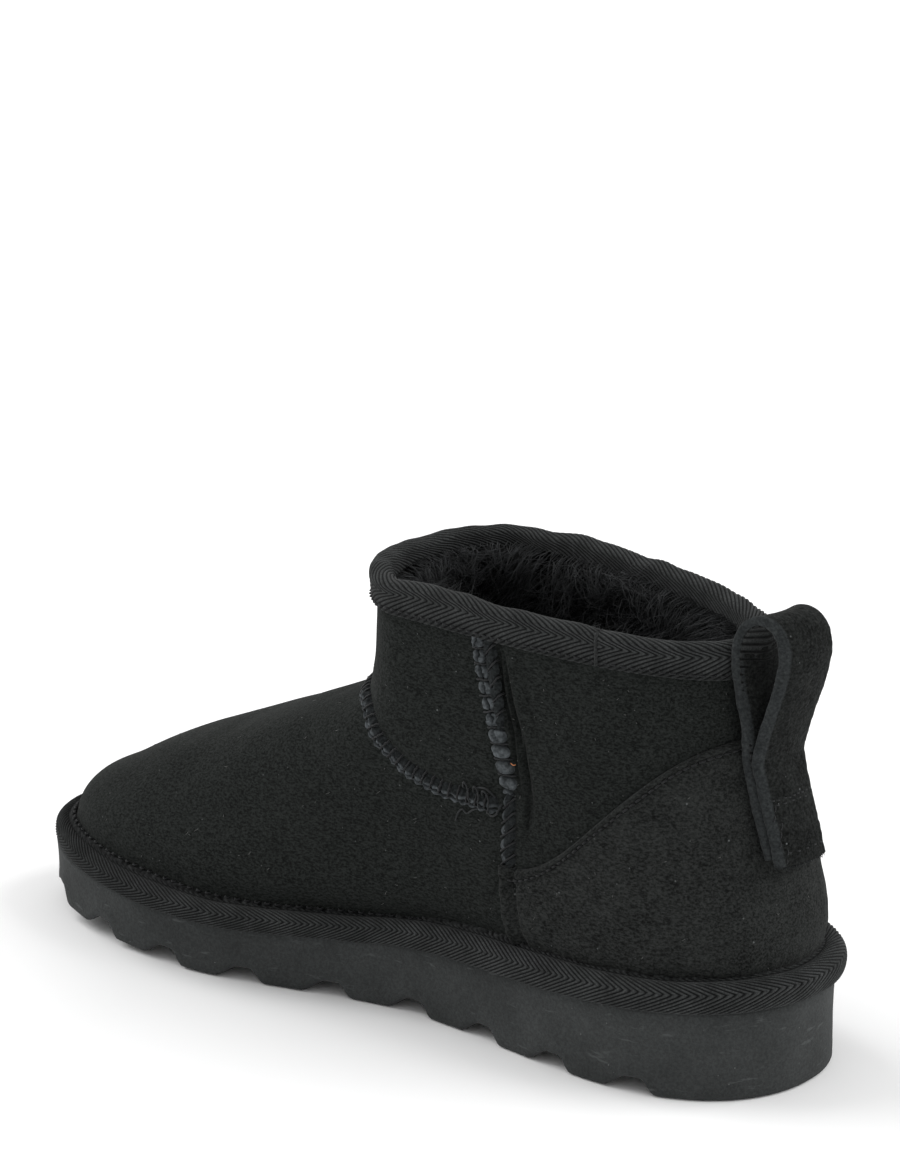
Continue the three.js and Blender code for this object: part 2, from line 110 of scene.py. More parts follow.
# One row for each ring of the upper, from the foot line to the collar's rim.
RING_ROWS = np.array([
    (5.2, 27.2, 264.8, 21.2, 33.1, 32.7, 48, 46, 26.4, 34.8, 117, 96, 42, 46.8, 195, 189,
     7, 2.2, 2.16, 1, 0, 0, 0),
    (5.2, 36.8, 262.2, 30.6, 33.6, 33.2, 48, 47, 28, 35.3, 115, 97, 42, 46.5, 194, 188,
     7, 2.2, 2.16, 1, 0, 0, 0),
    (5, 49, 247, 44.2, 33.4, 33.2, 51, 50, 30.8, 35.5, 113, 100, 38.3, 42, 184, 180,
     6.5, 2.14, 2.06, 0.5, 0, 0, 0),
    (7, 63, 228, 56, 33, 33, 58, 57, 32.8, 35.5, 111, 102, 34.5, 37.5, 163, 161,
     5, 2.1, 2, 0.2, 0, 0, 0),
    (11, 77, 200, 68.4, 33.2, 33.4, 68, 68, 34.2, 35.4, 110, 104, 33.6, 34.4, 140, 140,
     3, 2.1, 2, 0, 0, 0.4, 0),
    (14.8, 90, 173, 80.2, 33.6, 33.8, 82, 82, 34.8, 35.4, 112, 110, 34.6, 35, 126, 126,
     1, 2.12, 2, 0, 0.3, 0.9, -0.5),
    (17.2, 99, 151.6, 90.6, 34, 34, 94, 94, 34.6, 34.8, 113, 113, 34.6, 34.8, 120, 120,
     0, 2.14, 2, 0, 0.6, 1.3, -1),
    (19, 107.5, 145.6, 102, 34, 34, 104, 104, 34.3, 34.3, 114, 114, 34.4, 34.4, 120, 120,
     0, 2.16, 2, 0, 0.9, 1.6, -1.5),
    (20.4, 117, 144.4, 121.6, 33.9, 33.9, 110, 110, 34, 34, 116, 116, 34.1, 34.1, 121, 121,
     0, 2.18, 2, 0, 1.2, 1.8, -1.8),
    (20.8, 125, 144.2, 129.6, 34, 34, 112, 112, 34.1, 34.1, 117, 117, 34.1, 34.1, 122, 122,
     0, 2.2, 2, 0, 1.4, 1.8, -1.8),
])


# ---- Curves ----
def mix(a, b, t):
    return a + (b - a) * t


def ease(t):
    t = np.clip(t, 0, 1)
    return t * t * (3 - 2 * t)


def bell(distance, width):
    return np.exp(-((distance / width) ** 2))


def arc(t, power):
    return np.maximum(0.0, 1 - np.clip(t, 0, 1) ** power) ** (1 / power)


def through(a, b, c, d, t):
    """A smooth line through four values, between the middle two."""
    slope_b = (c - a) / 2
    slope_c = (d - b) / 2
    t2 = t * t
    t3 = t2 * t
    return (
        b * (2 * t3 - 3 * t2 + 1) + slope_b * (t3 - 2 * t2 + t)
        + c * (3 * t2 - 2 * t3) + slope_c * (t3 - t2)
    )


def table_through(table, at):
    """Rows of a table, read at fractional places."""
    at = np.asarray(at, float)
    index = np.clip(at.astype(int), 0, len(table) - 2)
    t = (at - index).reshape(at.shape + (1,) * (table.ndim - 1))
    near = [table[np.clip(index + k, 0, len(table) - 1)] for k in (-1, 0, 1, 2)]
    return through(*near, t)


def walked(curve):
    """Distance along a curve at each of its points."""
    return np.concatenate([[0], np.cumsum(np.linalg.norm(np.diff(curve, axis=0), axis=-1))])


def read_at(want, run, table):
    """Rows of a table, known at the distances run, read at the distances wanted."""
    return np.stack([np.interp(want, run, column) for column in table.T], 1)


def smoothed(line, soften):
    """A line with its corners rounded over so many points."""
    kernel = np.hanning(soften + 2)[1:-1]
    kernel /= kernel.sum()
    half = soften // 2
    padded = np.pad(line, ((half, half), (0, 0)), mode="reflect", reflect_type="odd")
    return np.stack([np.convolve(column, kernel, "valid") for column in padded.T], 1)


def sole_top(x):
    x = np.clip(x, 0, LENGTH)
    at = np.interp(x, SOLE_TOP[:, 0], np.arange(len(SOLE_TOP)))
    return table_through(SOLE_TOP[:, 1], at)


def tread(x):
    """Height of the outsole's underside: toe spring and rounded waves."""
    past = np.clip((x - TOE_SPRING["start"]) / (LENGTH - TOE_SPRING["start"]), 0, 1)
    spring = TOE_SPRING["rise"] * past ** TOE_SPRING["power"]
    nearest = np.clip(np.round((x - RIPPLE["first"]) / RIPPLE["pitch"]), 0, RIPPLE["count"] - 1)
    past_centre = x - RIPPLE["first"] - nearest * RIPPLE["pitch"]
    flank = np.where(past_centre > 0, RIPPLE["easy"], RIPPLE["steep"])
    slope = 1 - (np.abs(past_centre) - RIPPLE["roof"] / 2) / flank
    return spring + RIPPLE["depth"] * ease(slope)


def half_width(ring, side, x):
    heel, waist, ball = ring["heel_" + side], ring["waist_" + side], ring["ball_" + side]
    heel_at, waist_at, ball_at = (ring[k + "_at_" + side] for k in ("heel", "waist", "ball"))
    tip = ring["tip"] if side == "m" else -ring["tip"]
    back = heel * arc((heel_at - x) / (heel_at - ring["back"]), ring["back_power"])
    front = tip + (ball - tip) * arc((x - ball_at) / (ring["front"] - ball_at), ring["front_power"])
    middle = mix(heel, waist, ease((x - heel_at) / (waist_at - heel_at)))
    fore = mix(waist, ball, ease((x - waist_at) / (ball_at - waist_at)))
    return np.select([x <= heel_at, x <= waist_at, x <= ball_at], [back, middle, fore], front)


def side_line(ring, side, parts):
    """One side of a ring from heel to toe, divided evenly along its length."""
    turn = np.linspace(0, math.pi, 900)
    x = mix(ring["back"], ring["front"], (1 - np.cos(turn)) / 2)
    y = half_width(ring, side, x) * (1 if side == "m" else -1)
    line = np.stack([x, y], 1)
    run = walked(line)
    return read_at(np.linspace(0, run[-1], parts + 1), run, line)


def both_sides(ring, parts):
    """A closed flat ring: out along the outer side to the toe, back along the inner side."""
    return np.vstack([side_line(ring, "l", parts), side_line(ring, "m", parts)[-2:0:-1]])


def ring_loop(row, parts):
    """A closed ring at its true height, from a row of the table."""
    ring = dict(zip(RING_COLUMNS, row))
    x, y = both_sides(ring, parts).T
    t = (x - ring["back"]) / (ring["front"] - ring["back"])
    rocker = sole_top(x) - mix(sole_top(ring["back"]), sole_top(ring["front"]), t)
    z = mix(ring["back_z"], ring["front_z"], t) + ring["follow"] * rocker
    z = z + ring["arch"] * 4 * t * (1 - t)
    return np.stack([x, y + mix(ring["sway_back"], ring["sway_front"], t), z], 1)


def lumps(points, size, seed, waves=26):
    """A smooth random field of about unit strength, with swellings of the given size."""
    chance = np.random.default_rng(seed)
    heading = chance.normal(size=(waves, 3))
    heading /= np.linalg.norm(heading, axis=1, keepdims=True)
    heading *= (2 * math.pi / (size * chance.uniform(0.8, 2.2, waves)))[:, None]
    phase = chance.uniform(0, 2 * math.pi, waves)
    return np.sin(points @ heading.T + phase).sum(-1) / math.sqrt(waves)


def unit(vectors):
    return vectors / np.maximum(np.linalg.norm(vectors, axis=-1, keepdims=True), 1e-9)


# ---- The skin: the upper's outer surface as a fine grid of rows and places around ----
HALF_AROUND = 720
AROUND = 2 * HALF_AROUND
SKIN_ROWS = 271


def grid_normals(grid):
    along = np.roll(grid, -1, 1) - np.roll(grid, 1, 1)
    upward = np.gradient(grid, axis=0)
    return unit(np.cross(along, upward))


def make_skin():
    rows = table_through(RING_ROWS, np.linspace(0, TOP_ROW, SKIN_ROWS))
    return np.stack([ring_loop(row, HALF_AROUND) for row in rows])


plain_skin = make_skin()
plain_normals = grid_normals(plain_skin)


def find(x, z, side):
    """Place around and row of the skin's point at x and z on the inner (1) or outer (-1) side."""
    columns = np.arange(HALF_AROUND, AROUND) if side > 0 else np.arange(HALF_AROUND + 1)
    part = plain_skin[:, columns]
    away = (part[..., 0] - x) ** 2 + (part[..., 2] - z) ** 2
    row, column = np.unravel_index(np.argmin(away), away.shape)
    return columns[column] / AROUND, row * TOP_ROW / (SKIN_ROWS - 1)


def sample(grid, around, row):
    """The grid read at places between its points."""
    c = np.asarray(around, float) % 1.0 * AROUND
    r = np.clip(np.asarray(row, float), 0, TOP_ROW) * (SKIN_ROWS - 1) / TOP_ROW
    c0 = np.floor(c).astype(int)
    r0 = np.minimum(np.floor(r).astype(int), SKIN_ROWS - 2)
    fc = (c - c0)[..., None]
    fr = (r - r0)[..., None]
    c0 %= AROUND
    c1 = (c0 + 1) % AROUND
    low = mix(grid[r0, c0], grid[r0, c1], fc)
    high = mix(grid[r0 + 1, c0], grid[r0 + 1, c1], fc)
    return mix(low, high, fr)


def places_of(points, side):
    """Places around and rows of points given as x and z on one side."""
    return np.array([find(x, z, side) for x, z in points])


def spaced(places, spacing):
    """The same line with a point every so many millimetres, its corners rounded."""
    fine = table_through(places, np.linspace(0, len(places) - 1, 40 * len(places)))
    fine = smoothed(fine, CORNER_ROUNDING)
    run = walked(sample(plain_skin, *fine.T))
    return read_at(np.arange(0, run[-1], spacing), run, fine)


def route(points, side, spacing):
    """Places around and rows along a line given by its corner points (x, z) on one side."""
    return spaced(places_of(points, side), spacing)


# ---- Lines on the skin, as x and z seen from the side ----
SEAM_LINE = [
    (93, 122), (91.5, 114), (88.7, 103), (86, 96.4), (84.1, 89.5), (82.3, 82.4), (81.7, 76),
]
SEAM_STRIP = [(89.4, 122), (87.6, 114), (85.9, 106), (84.3, 98), (83.1, 91)]
LOW_STRIP = [(81.7, 77.5), (81.2, 68), (81.9, 61), (81.8, 54), (81.2, 47), (79.6, 39), (78, 33)]
VAMP_LINE = [
    (150.4, 91.5), (146, 92.5), (142.8, 92.4), (136.3, 91.5), (131, 87.2), (127.5, 83.4),
    (123.1, 79.7), (117.5, 76.5), (112.1, 74.7), (104.9, 73.2), (97.8, 72.6), (88, 72.2), (84.5, 72.4),
]
# The seams draw the hide in: line, depth and half-width of the trough (mm).
TROUGHS = [(SEAM_LINE, 0.9, 4.2), (LOW_STRIP, 0.8, 4.2), (VAMP_LINE, 0.9, 4.0)]
COUNTER_EDGE = dict(back_x=15.0, back_z=100.5, front_x=81.0, front_z=54.5)

# Creases: side, x and z at the start, middle and end, depth (mm, minus is a ridge), half-width (mm).
CREASES = [
    (1, (86.0, 122), (81.4, 99), (76.9, 75), 1.7, 1.0),
    (1, (84.7, 119), (79.9, 98), (75.7, 76), -0.7, 0.7),
    (1, (83.8, 117), (78.8, 98), (74.9, 78), 1.3, 0.75),
    (1, (81.0, 104), (76.9, 90), (74.3, 76), -0.6, 0.7),
    (1, (80.4, 102), (75.9, 88), (73.5, 74), 1.2, 0.8),
    (1, (77.6, 93), (74.0, 82), (72.8, 68), 1.0, 0.85),
    (1, (76.6, 84), (75.0, 74), (75.4, 64), 1.2, 0.85),
    (1, (78.4, 119), (74.6, 104), (72.2, 92), 0.4, 1.2),
    (1, (84.4, 121), (80.6, 104), (77.9, 92), 0.8, 0.6),
    (1, (83.2, 119), (79.8, 102), (76.9, 86), -0.5, 0.5),
    (1, (80.4, 103), (77.0, 90), (74.8, 76), -0.5, 0.5),
    (1, (82.4, 114), (79.0, 100), (76.4, 86), 0.7, 0.6),
    (1, (79.0, 98), (75.6, 85), (74.2, 70), 0.7, 0.6),
    (1, (77.4, 80), (75.4, 72), (74.6, 60), 0.6, 0.6),
    (1, (98, 118), (95, 104), (93, 90), 0.35, 4.0),
    (1, (66, 108), (58, 90), (56, 76), -0.5, 8.0),
    (1, (120, 112), (118, 100), (121, 88), -0.6, 7.0),
    (1, (138, 84), (120, 70), (98, 66), 0.7, 6.0),
    (1, (176, 70), (150, 62), (122, 52), -0.6, 9.0),
    (1, (214, 52), (196, 46), (178, 36), 0.5, 10.0),
    (1, (160, 78), (146, 66), (138, 56), 0.35, 5.0),
    (1, (40, 60), (36, 50), (38, 40), 0.4, 8.0),
    (-1, (87.0, 121), (81.8, 99), (78.8, 77), 0.8, 1.6),
    (-1, (83.6, 120), (78.3, 99), (75.5, 72), -0.5, 1.4),
    (-1, (98, 116), (95, 104), (92, 88), 0.4, 4.0),
    (-1, (138, 84), (120, 70), (98, 66), 0.8, 6.0),
    (-1, (64, 106), (58, 90), (58, 78), -0.5, 8.0),
    (-1, (176, 70), (152, 60), (126, 50), -0.7, 9.0),
    (-1, (216, 52), (200, 46), (182, 36), 0.6, 10.0),
    (-1, (156, 76), (144, 62), (136, 50), 0.5, 5.0),
]


def away_from(grid, line):
    """Distance from each grid point to a line of points, taken one by one to save memory."""
    away = np.full(grid.shape[:2], 1e9)
    for point in line:
        away = np.minimum(away, ((grid - point) ** 2).sum(-1))
    return np.sqrt(away)


SHARP_CREASE = 1.5  # creases narrower than this get painted shade inside


def skin_relief():
    """How far the skin stands out or in from the plain form, and how much painted shade its sharp
    creases get.
    """
    coarse = plain_skin[::2, ::2]
    relief = 0.28 * lumps(coarse, 34, 3) + 0.12 * lumps(coarse, 13, 4)
    crease_shade = np.zeros(coarse.shape[:2])
    for side, start, middle, end, depth, width in sorted(CREASES, key=lambda crease: -crease[4]):
        places = route([start, middle, end], side, max(0.6, width * 0.6))
        line = sample(plain_skin, *places.T)
        fade = np.sin(np.linspace(0.12, math.pi - 0.12, len(line))) ** 0.7
        strength = np.zeros(coarse.shape[:2])
        for point, weight in zip(line, fade):
            gone = ((coarse - point) ** 2).sum(-1)
            strength = np.maximum(strength, weight * np.exp(-gone / width**2))
        relief -= depth * strength
        # sharp creases get painted shade, and sharp ridges lose it again
        if width < SHARP_CREASE and depth > 0:
            crease_shade = np.maximum(crease_shade, 0.8 * strength * min(depth, 1))
        elif width < SHARP_CREASE:
            crease_shade *= 1 - 0.85 * strength
    for side in (1, -1):
        for corners, depth, width in TROUGHS:
            line = sample(plain_skin, *route(corners, side, 1.0).T)
            relief -= depth * bell(away_from(coarse, line), width)
    rows = np.linspace(0, TOP_ROW, len(coarse))[:, None]
    relief -= 0.7 * bell(rows - 0.9, 0.28)  # drawn in against the welt
    forward = ease((coarse[..., 0] - 90) / 60)
    relief += (0.6 + 1.9 * forward) * bell(rows - 1.55, 0.55)  # and swelling above it
    relief *= ease((TOP_ROW - 0.6 - rows) / 0.8)
    return relief, crease_shade


def spread(coarse):
    """Coarse relief read on the whole skin grid."""
    rows = np.linspace(0, len(coarse) - 1, SKIN_ROWS)
    low = np.minimum(rows.astype(int), len(coarse) - 2)
    tall = mix(coarse[low], coarse[low + 1], (rows - low)[:, None])
    columns = np.arange(AROUND) / 2
    left = columns.astype(int)
    right = (left + 1) % coarse.shape[1]
    return mix(tall[:, left], tall[:, right], columns - left)


# the relief, and the painted shade for the skin's sharp creases
skin_rise, skin_crease_shade = (spread(field) for field in skin_relief())
skin = plain_skin + plain_normals * skin_rise[..., None]
skin_normals = grid_normals(skin)


def on_skin(around, row, lift=0.0):
    lift = np.asarray(lift, float)[..., None]
    return sample(skin, around, row) + unit(sample(skin_normals, around, row)) * lift


# ---- Meshes ----
def grid_faces(rows, columns, wrap_columns=False, wrap_rows=False, start=0):
    """Quads of a grid of points, row after row."""
    r = np.arange(rows if wrap_rows else rows - 1)[:, None]
    c = np.arange(columns if wrap_columns else columns - 1)[None, :]
    r1 = (r + 1) % rows
    c1 = (c + 1) % columns
    quads = [r * columns + c, r * columns + c1, r1 * columns + c1, r1 * columns + c]
    return np.stack(np.broadcast_arrays(*quads), -1).reshape(-1, 4) + start


def new_object(name, data):
    thing = bpy.data.objects.new(name, data)
    bpy.context.scene.collection.objects.link(thing)
    return thing


def piece(name, points, faces, material, shade=None):
    """A smooth mesh object that rides on the boot's one body."""
    mesh = bpy.data.meshes.new(name)
    points = np.asarray(points, float).reshape(-1, 3)
    mesh.from_pydata(to_row(points).tolist(), [], [list(map(int, face)) for face in faces])
    mesh.polygons.foreach_set("use_smooth", np.ones(len(mesh.polygons), bool))
    if shade is not None:
        layer = mesh.attributes.new("shade", "FLOAT", "POINT")
        layer.data.foreach_set("value", np.asarray(shade, np.float32).ravel())
    mesh.materials.append(material)
    mesh.update()
    thing = new_object(name, mesh)
    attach(thing, "root")
    return thing


def closed_sweep(rows, columns):
    """Faces of a closed section swept along a line, with both ends closed."""
    walls = grid_faces(rows, columns, wrap_columns=True)[:, ::-1]
    first = list(range(columns))
    last = [(rows - 1) * columns + k for k in range(columns)][::-1]
    return [*walls, first, last]


def tubes(paths, radii, reference, sides=5):
    """Points and faces of many thin tubes. paths is (tubes, points, 3); radii is per point."""
    count, length, _ = paths.shape
    ahead = unit(np.gradient(paths, axis=1))
    across = unit(np.cross(ahead, reference))
    over = np.cross(across, ahead)
    turn = np.arange(sides) * 2 * math.pi / sides
    radii = np.broadcast_to(radii, (count, length))[..., None, None]
    ring = across[:, :, None] * np.cos(turn)[:, None] + over[:, :, None] * np.sin(turn)[:, None]
    points = paths[:, :, None] + ring * radii
    one = grid_faces(length, sides, wrap_columns=True)
    ends = [list(range(sides))[::-1], [(length - 1) * sides + k for k in range(sides)]]
    block = length * sides
    offsets = np.arange(count) * block
    walls = (one[None] + offsets[:, None, None]).reshape(-1, 4)
    caps = (np.array(ends)[None] + offsets[:, None, None]).reshape(-1, sides)
    return points.reshape(-1, 3), [*walls, *caps]


def joined(parts):
    """Several (points, faces) joined into one."""
    points = []
    faces = []
    start = 0
    for some_points, some_faces in parts:
        points.append(some_points)
        faces.extend(np.asarray(face) + start for face in some_faces)
        start += len(some_points)
    return np.vstack(points), faces


# ---- Materials ----
class Look:
    """A material under construction: a Principled shader and small node helpers."""

    def __init__(self, name, roughness, specular, sheen=0.0, sheen_roughness=0.5):
        self.material = bpy.data.materials.new(name)
        self.material.use_nodes = True
        self.nodes = self.material.node_tree.nodes
        self.links = self.material.node_tree.links
        self.shader = self.nodes["Principled BSDF"]
        finish = {
            "Roughness": roughness, "Specular IOR Level": specular,
            "Sheen Weight": sheen, "Sheen Roughness": sheen_roughness,
        }
        for label, value in finish.items():
            self.feed(self.shader.inputs[label], value)
        self.place = self.node("TexCoord").outputs["Object"]
        self.normal = None

    def feed(self, socket, value):
        """Set an input, or link it where the value is another node's output."""
        if isinstance(value, bpy.types.NodeSocket):
            self.links.new(value, socket)
        elif socket.type == "RGBA":
            socket.default_value = (*value, 1)
        else:
            socket.default_value = value

    def node(self, kind, **inputs):
        node = self.nodes.new("ShaderNode" + kind)
        for label, value in inputs.items():
            self.feed(node.inputs[label], value)
        return node

    def stretched(self, scale):
        return self.node("Mapping", Scale=scale, Vector=self.place).outputs["Vector"]

    def noise(self, size, detail=3.0, roughness=0.55, place=None):
        """Noise whose features are about size millimetres across."""
        scale = 1 / (size * MM)
        vector = place or self.place
        node = self.node("TexNoise", Scale=scale, Detail=detail, Roughness=roughness, Vector=vector)
        return node.outputs["Fac"]

    def ramp(self, value, *stops):
        """A value turned into greys: each stop is a place and its level."""
        node = self.node("ValToRGB", Fac=value)
        elements = node.color_ramp.elements
        while len(elements) < len(stops):
            elements.new(0.5)
        for element, (at, level) in zip(elements, stops):
            element.position = at
            element.color = (level, level, level, 1)
        return node.outputs["Color"]

    def blend(self, kind, share, a, b):
        node = self.node("Mix")
        node.data_type = "RGBA"
        node.blend_type = kind
        factor, first, second, result = 0, 6, 7, 2  # the colour sockets' places
        for place, value in ((factor, share), (first, a), (second, b)):
            self.feed(node.inputs[place], value)
        return node.outputs[result]

    def specks(self, spacing, size, share, seed=0.0):
        """Small dots, one at most in each cell: 1 on a dot and 0 elsewhere."""
        shifted = self.node("VectorMath")
        self.feed(shifted.inputs[0], self.place)
        self.feed(shifted.inputs[1], (seed, seed, seed))
        cells = self.node("TexVoronoi", Scale=1 / (spacing * MM), Vector=shifted.outputs[0])
        near = self.ramp(cells.outputs["Distance"], (0.0, 1.0), (size / spacing, 0.0))
        chosen = self.ramp(cells.outputs["Color"], (1 - share, 0.0), (1 - share + 0.01, 1.0))
        return self.blend("MULTIPLY", 1.0, near, chosen)

    def shade(self):
        """The mesh's own shade, painted point by point."""
        node = self.node("Attribute")
        node.attribute_name = "shade"
        return node.outputs["Fac"]

    def bump(self, height, strength, distance):
        node = self.node("Bump", Strength=strength, Distance=distance * MM, Height=height)
        if self.normal:
            self.feed(node.inputs["Normal"], self.normal)
        self.normal = node.outputs["Normal"]

    def done(self, colour):
        self.feed(self.shader.inputs["Base Color"], colour)
        if self.normal:
            self.feed(self.shader.inputs["Normal"], self.normal)
        return self.material


RAW_EDGE = (0.1, 0.111, 0.118)
SUEDE_SPECK = (0.15, 0.16, 0.16)
# how dark the painted shade in the upper's creases is
CREASE_SHADE_DARKENING = 0.45


def suede_look(name, dark, light, nap, mottle, bump, specked, contrast=0.6, shaded=False, crease_shade=False):
    """Brushed suede: soft blotches of about mottle millimetres, a fine nap, and pale specks of lint.

    shaded suede turns to a pale raw edge by the mesh's shade; on the upper the mesh's shade instead
    paints shade into its sharp creases."""
    look = Look(name, 1.0, 0.02, sheen=0.045, sheen_roughness=0.4)
    blotch = look.ramp(look.noise(mottle, 4, 0.6), (0.3, 0.0), (0.72, 1.0))
    brushed = look.noise(nap, 4, 0.8, look.stretched((0.6, 1.0, 1.15)))
    grain = look.ramp(brushed, (0.4, 0.0), (0.6, 1.0))
    tone = look.blend("MIX", contrast, blotch, grain)
    colour = look.blend("MIX", tone, dark, light)
    if shaded:
        colour = look.blend("MIX", look.shade(), colour, RAW_EDGE)
        fibres = look.ramp(look.noise(0.8, 3), (0.35, 0.3), (0.65, 1.0))
        colour = look.blend("MULTIPLY", 0.6, colour, fibres)
    # painted shade in the upper's sharp creases, by the mesh's shade
    if crease_shade:
        deep = [CREASE_SHADE_DARKENING * level for level in dark]
        colour = look.blend("MIX", look.shade(), colour, deep)
    for spacing, size, seed in ((8, 0.36, 0.0), (4.5, 0.24, 0.031)):
        dots = look.specks(spacing, size, specked, seed)
        colour = look.blend("MIX", dots, colour, SUEDE_SPECK)
    look.bump(look.noise(nap * 5, 3), bump * 0.4, 0.6)
    look.bump(look.noise(nap, 2, 0.7), bump, 0.3)
    return look.done(colour)


def tape_look(name, crest_light, gap_shade):
    """Woven tape: painted light on the rib crests and painted shade in the gaps between them, blotches,
    fine threads and dust.
    """
    look = Look(name, 0.8, 0.05, sheen=0.03)
    # the shade attribute picks painted shade in the rib gaps or painted light on the crests
    rib = look.blend("MIX", look.shade(), gap_shade, crest_light)
    dimmed = look.ramp(look.noise(7, 3), (0.3, 0.62), (0.7, 1.0))
    thread = look.ramp(look.noise(0.5, 3, 0.7), (0.36, 0.45), (0.64, 1.0))
    colour = look.blend("MULTIPLY", 1.0, look.blend("MULTIPLY", 1.0, rib, dimmed), thread)
    colour = look.blend("MIX", look.specks(6, 0.26, 0.35), colour, (0.14, 0.14, 0.14))
    look.bump(look.noise(0.45, 2), 0.7, 0.2)
    return look.done(colour)


def foam_look():
    """Dull foam rubber with scuffs and dust."""
    look = Look("foam", 0.85, 0.05, sheen=0.04)
    tone = look.ramp(look.noise(24, 5, 0.6), (0.3, 0.0), (0.7, 1.0))
    colour = look.blend("MIX", tone, (0.035, 0.0373, 0.0373), (0.053, 0.0563, 0.0563))
    fine = look.ramp(look.noise(0.9, 4, 0.8), (0.4, 0.7), (0.6, 1.0))
    colour = look.blend("MULTIPLY", 1.0, colour, fine)
    streaks = look.noise(2.6, 4, 0.6, look.stretched((0.3, 0.3, 1.4)))
    scuff = look.ramp(streaks, (0.62, 0.0), (0.7, 0.75))
    colour = look.blend("MIX", scuff, colour, (0.07, 0.074, 0.074))
    for spacing, size, seed in ((7, 0.36, 0.0), (3.6, 0.22, 0.017)):
        dots = look.specks(spacing, size, 0.4, seed)
        colour = look.blend("MIX", dots, colour, (0.2, 0.2, 0.2))
    look.bump(look.noise(5, 4), 0.35, 0.6)
    look.bump(look.noise(0.8, 2), 0.6, 0.15)
    return look.done(colour)


def fur_look(name, dark, light):
    look = Look(name, 0.6, 0.12, sheen=0.02)
    tone = look.ramp(look.noise(3.5, 3), (0.35, 0.0), (0.7, 1.0))
    colour = look.blend("MIX", tone, dark, light)
    look.bump(look.noise(0.6, 3), 0.6, 0.3)
    return look.done(colour)


def thread_look(name, colour):
    look = Look(name, 0.6, 0.2, sheen=0.05)
    tone = look.ramp(look.noise(0.4, 2), (0.3, 0.5), (0.7, 1.0))
    look.bump(look.noise(0.25, 2), 0.4, 0.1)
    return look.done(look.blend("MULTIPLY", 1.0, tone, colour))


# the upper's suede, with painted shade in its sharp creases
SUEDE = suede_look(
    "suede", (0.005, 0.0057, 0.0053), (0.0235, 0.0261, 0.0246),
    nap=0.7, mottle=18, bump=0.7, specked=0.55, contrast=0.86, crease_shade=True,
)
ROUGH = suede_look(
    "rough_suede", (0.004, 0.0044, 0.0042), (0.034, 0.0362, 0.035),
    nap=0.75, mottle=11, bump=1.0, specked=0.9, contrast=0.72,
)
EDGE = suede_look(
    "raw_edge", (0.008, 0.0092, 0.0092), (0.028, 0.031, 0.032),
    nap=0.9, mottle=2.5, bump=1.0, specked=0.2, shaded=True,
)
STRAP = suede_look(
    "strap_suede", (0.0035, 0.0038, 0.0036), (0.029, 0.031, 0.03),
    nap=0.9, mottle=8, bump=1.0, specked=0.6, shaded=True,
)
# the tape's colours: painted light on the rib crests, painted shade in the gaps
CLOTH = tape_look("tape", crest_light=(0.058, 0.061, 0.061), gap_shade=(0.004, 0.0045, 0.0045))
FOAM = foam_look()
FUR = fur_look("fur", (0.014, 0.0146, 0.0152), (0.036, 0.0378, 0.0396))
# a dark base under the fur strands: painted shade between the strands
FUR_GAP_SHADE = fur_look("fur_gap_shade", (0.004, 0.004, 0.0042), (0.010, 0.0105, 0.011))
THREAD = thread_look("thread", (0.014, 0.015, 0.016))
PALE_THREAD = thread_look("pale_thread", (0.02, 0.022, 0.023))
LINT = thread_look("lint", (0.2, 0.2, 0.195))
ORANGE = thread_look("orange_lint", (0.6, 0.22, 0.08))


# ---- Upper ----
def crowded(count):
    """Places around the upper, closer together beside the side seams."""
    fine = np.linspace(0, 1, 4000)
    density = np.ones_like(fine)
    for side in (1, -1):
        seam, _ = find(80, 95, side)
        density += 1.8 * bell((fine - seam + 0.5) % 1 - 0.5, 0.028)
    total = np.cumsum(density)
    return np.interp(np.arange(count) / count, (total - total[0]) / total[-1], fine)


def make_upper():
    columns = 480
    inner_count = 16
    rows = np.linspace(0, TOP_ROW, TOP_ROW * 16 + 1)[:, None]
    around = crowded(columns)[None, :]
    outside = on_skin(around, rows)
    inner_rows = np.linspace(TOP_ROW, 0, inner_count)[:, None]
    wall = mix(WALL - INNER_SHORT, BARE_SKIN, ease(inner_rows - BINDING_ROW + 1.0))
    inside = on_skin(around, inner_rows, -wall)
    points = np.concatenate([outside, inside])
    faces = grid_faces(len(points), columns, wrap_columns=True, wrap_rows=True)
    # painted shade in the outer skin's sharp creases
    upper_crease_shade = sample(skin_crease_shade[..., None], around, rows)
    shade = np.concatenate([upper_crease_shade.ravel(), np.zeros(inner_count * columns)])
    upper = piece("upper_skin", points, faces, SUEDE, shade=shade)
    # inner wall near the rim: dark base with painted shade between the collar's strands
    upper.data.materials.append(FUR_GAP_SHADE)
    upper.data.materials.append(FUR)
    face_row = np.arange(len(faces)) // columns
    inner = face_row >= len(outside)
    deep = face_row >= len(outside) + inner_count * (TOP_ROW - DEEP_ROW) / TOP_ROW
    upper.data.polygons.foreach_set("material_index", inner.astype(np.int32) + deep)
    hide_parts("upper")


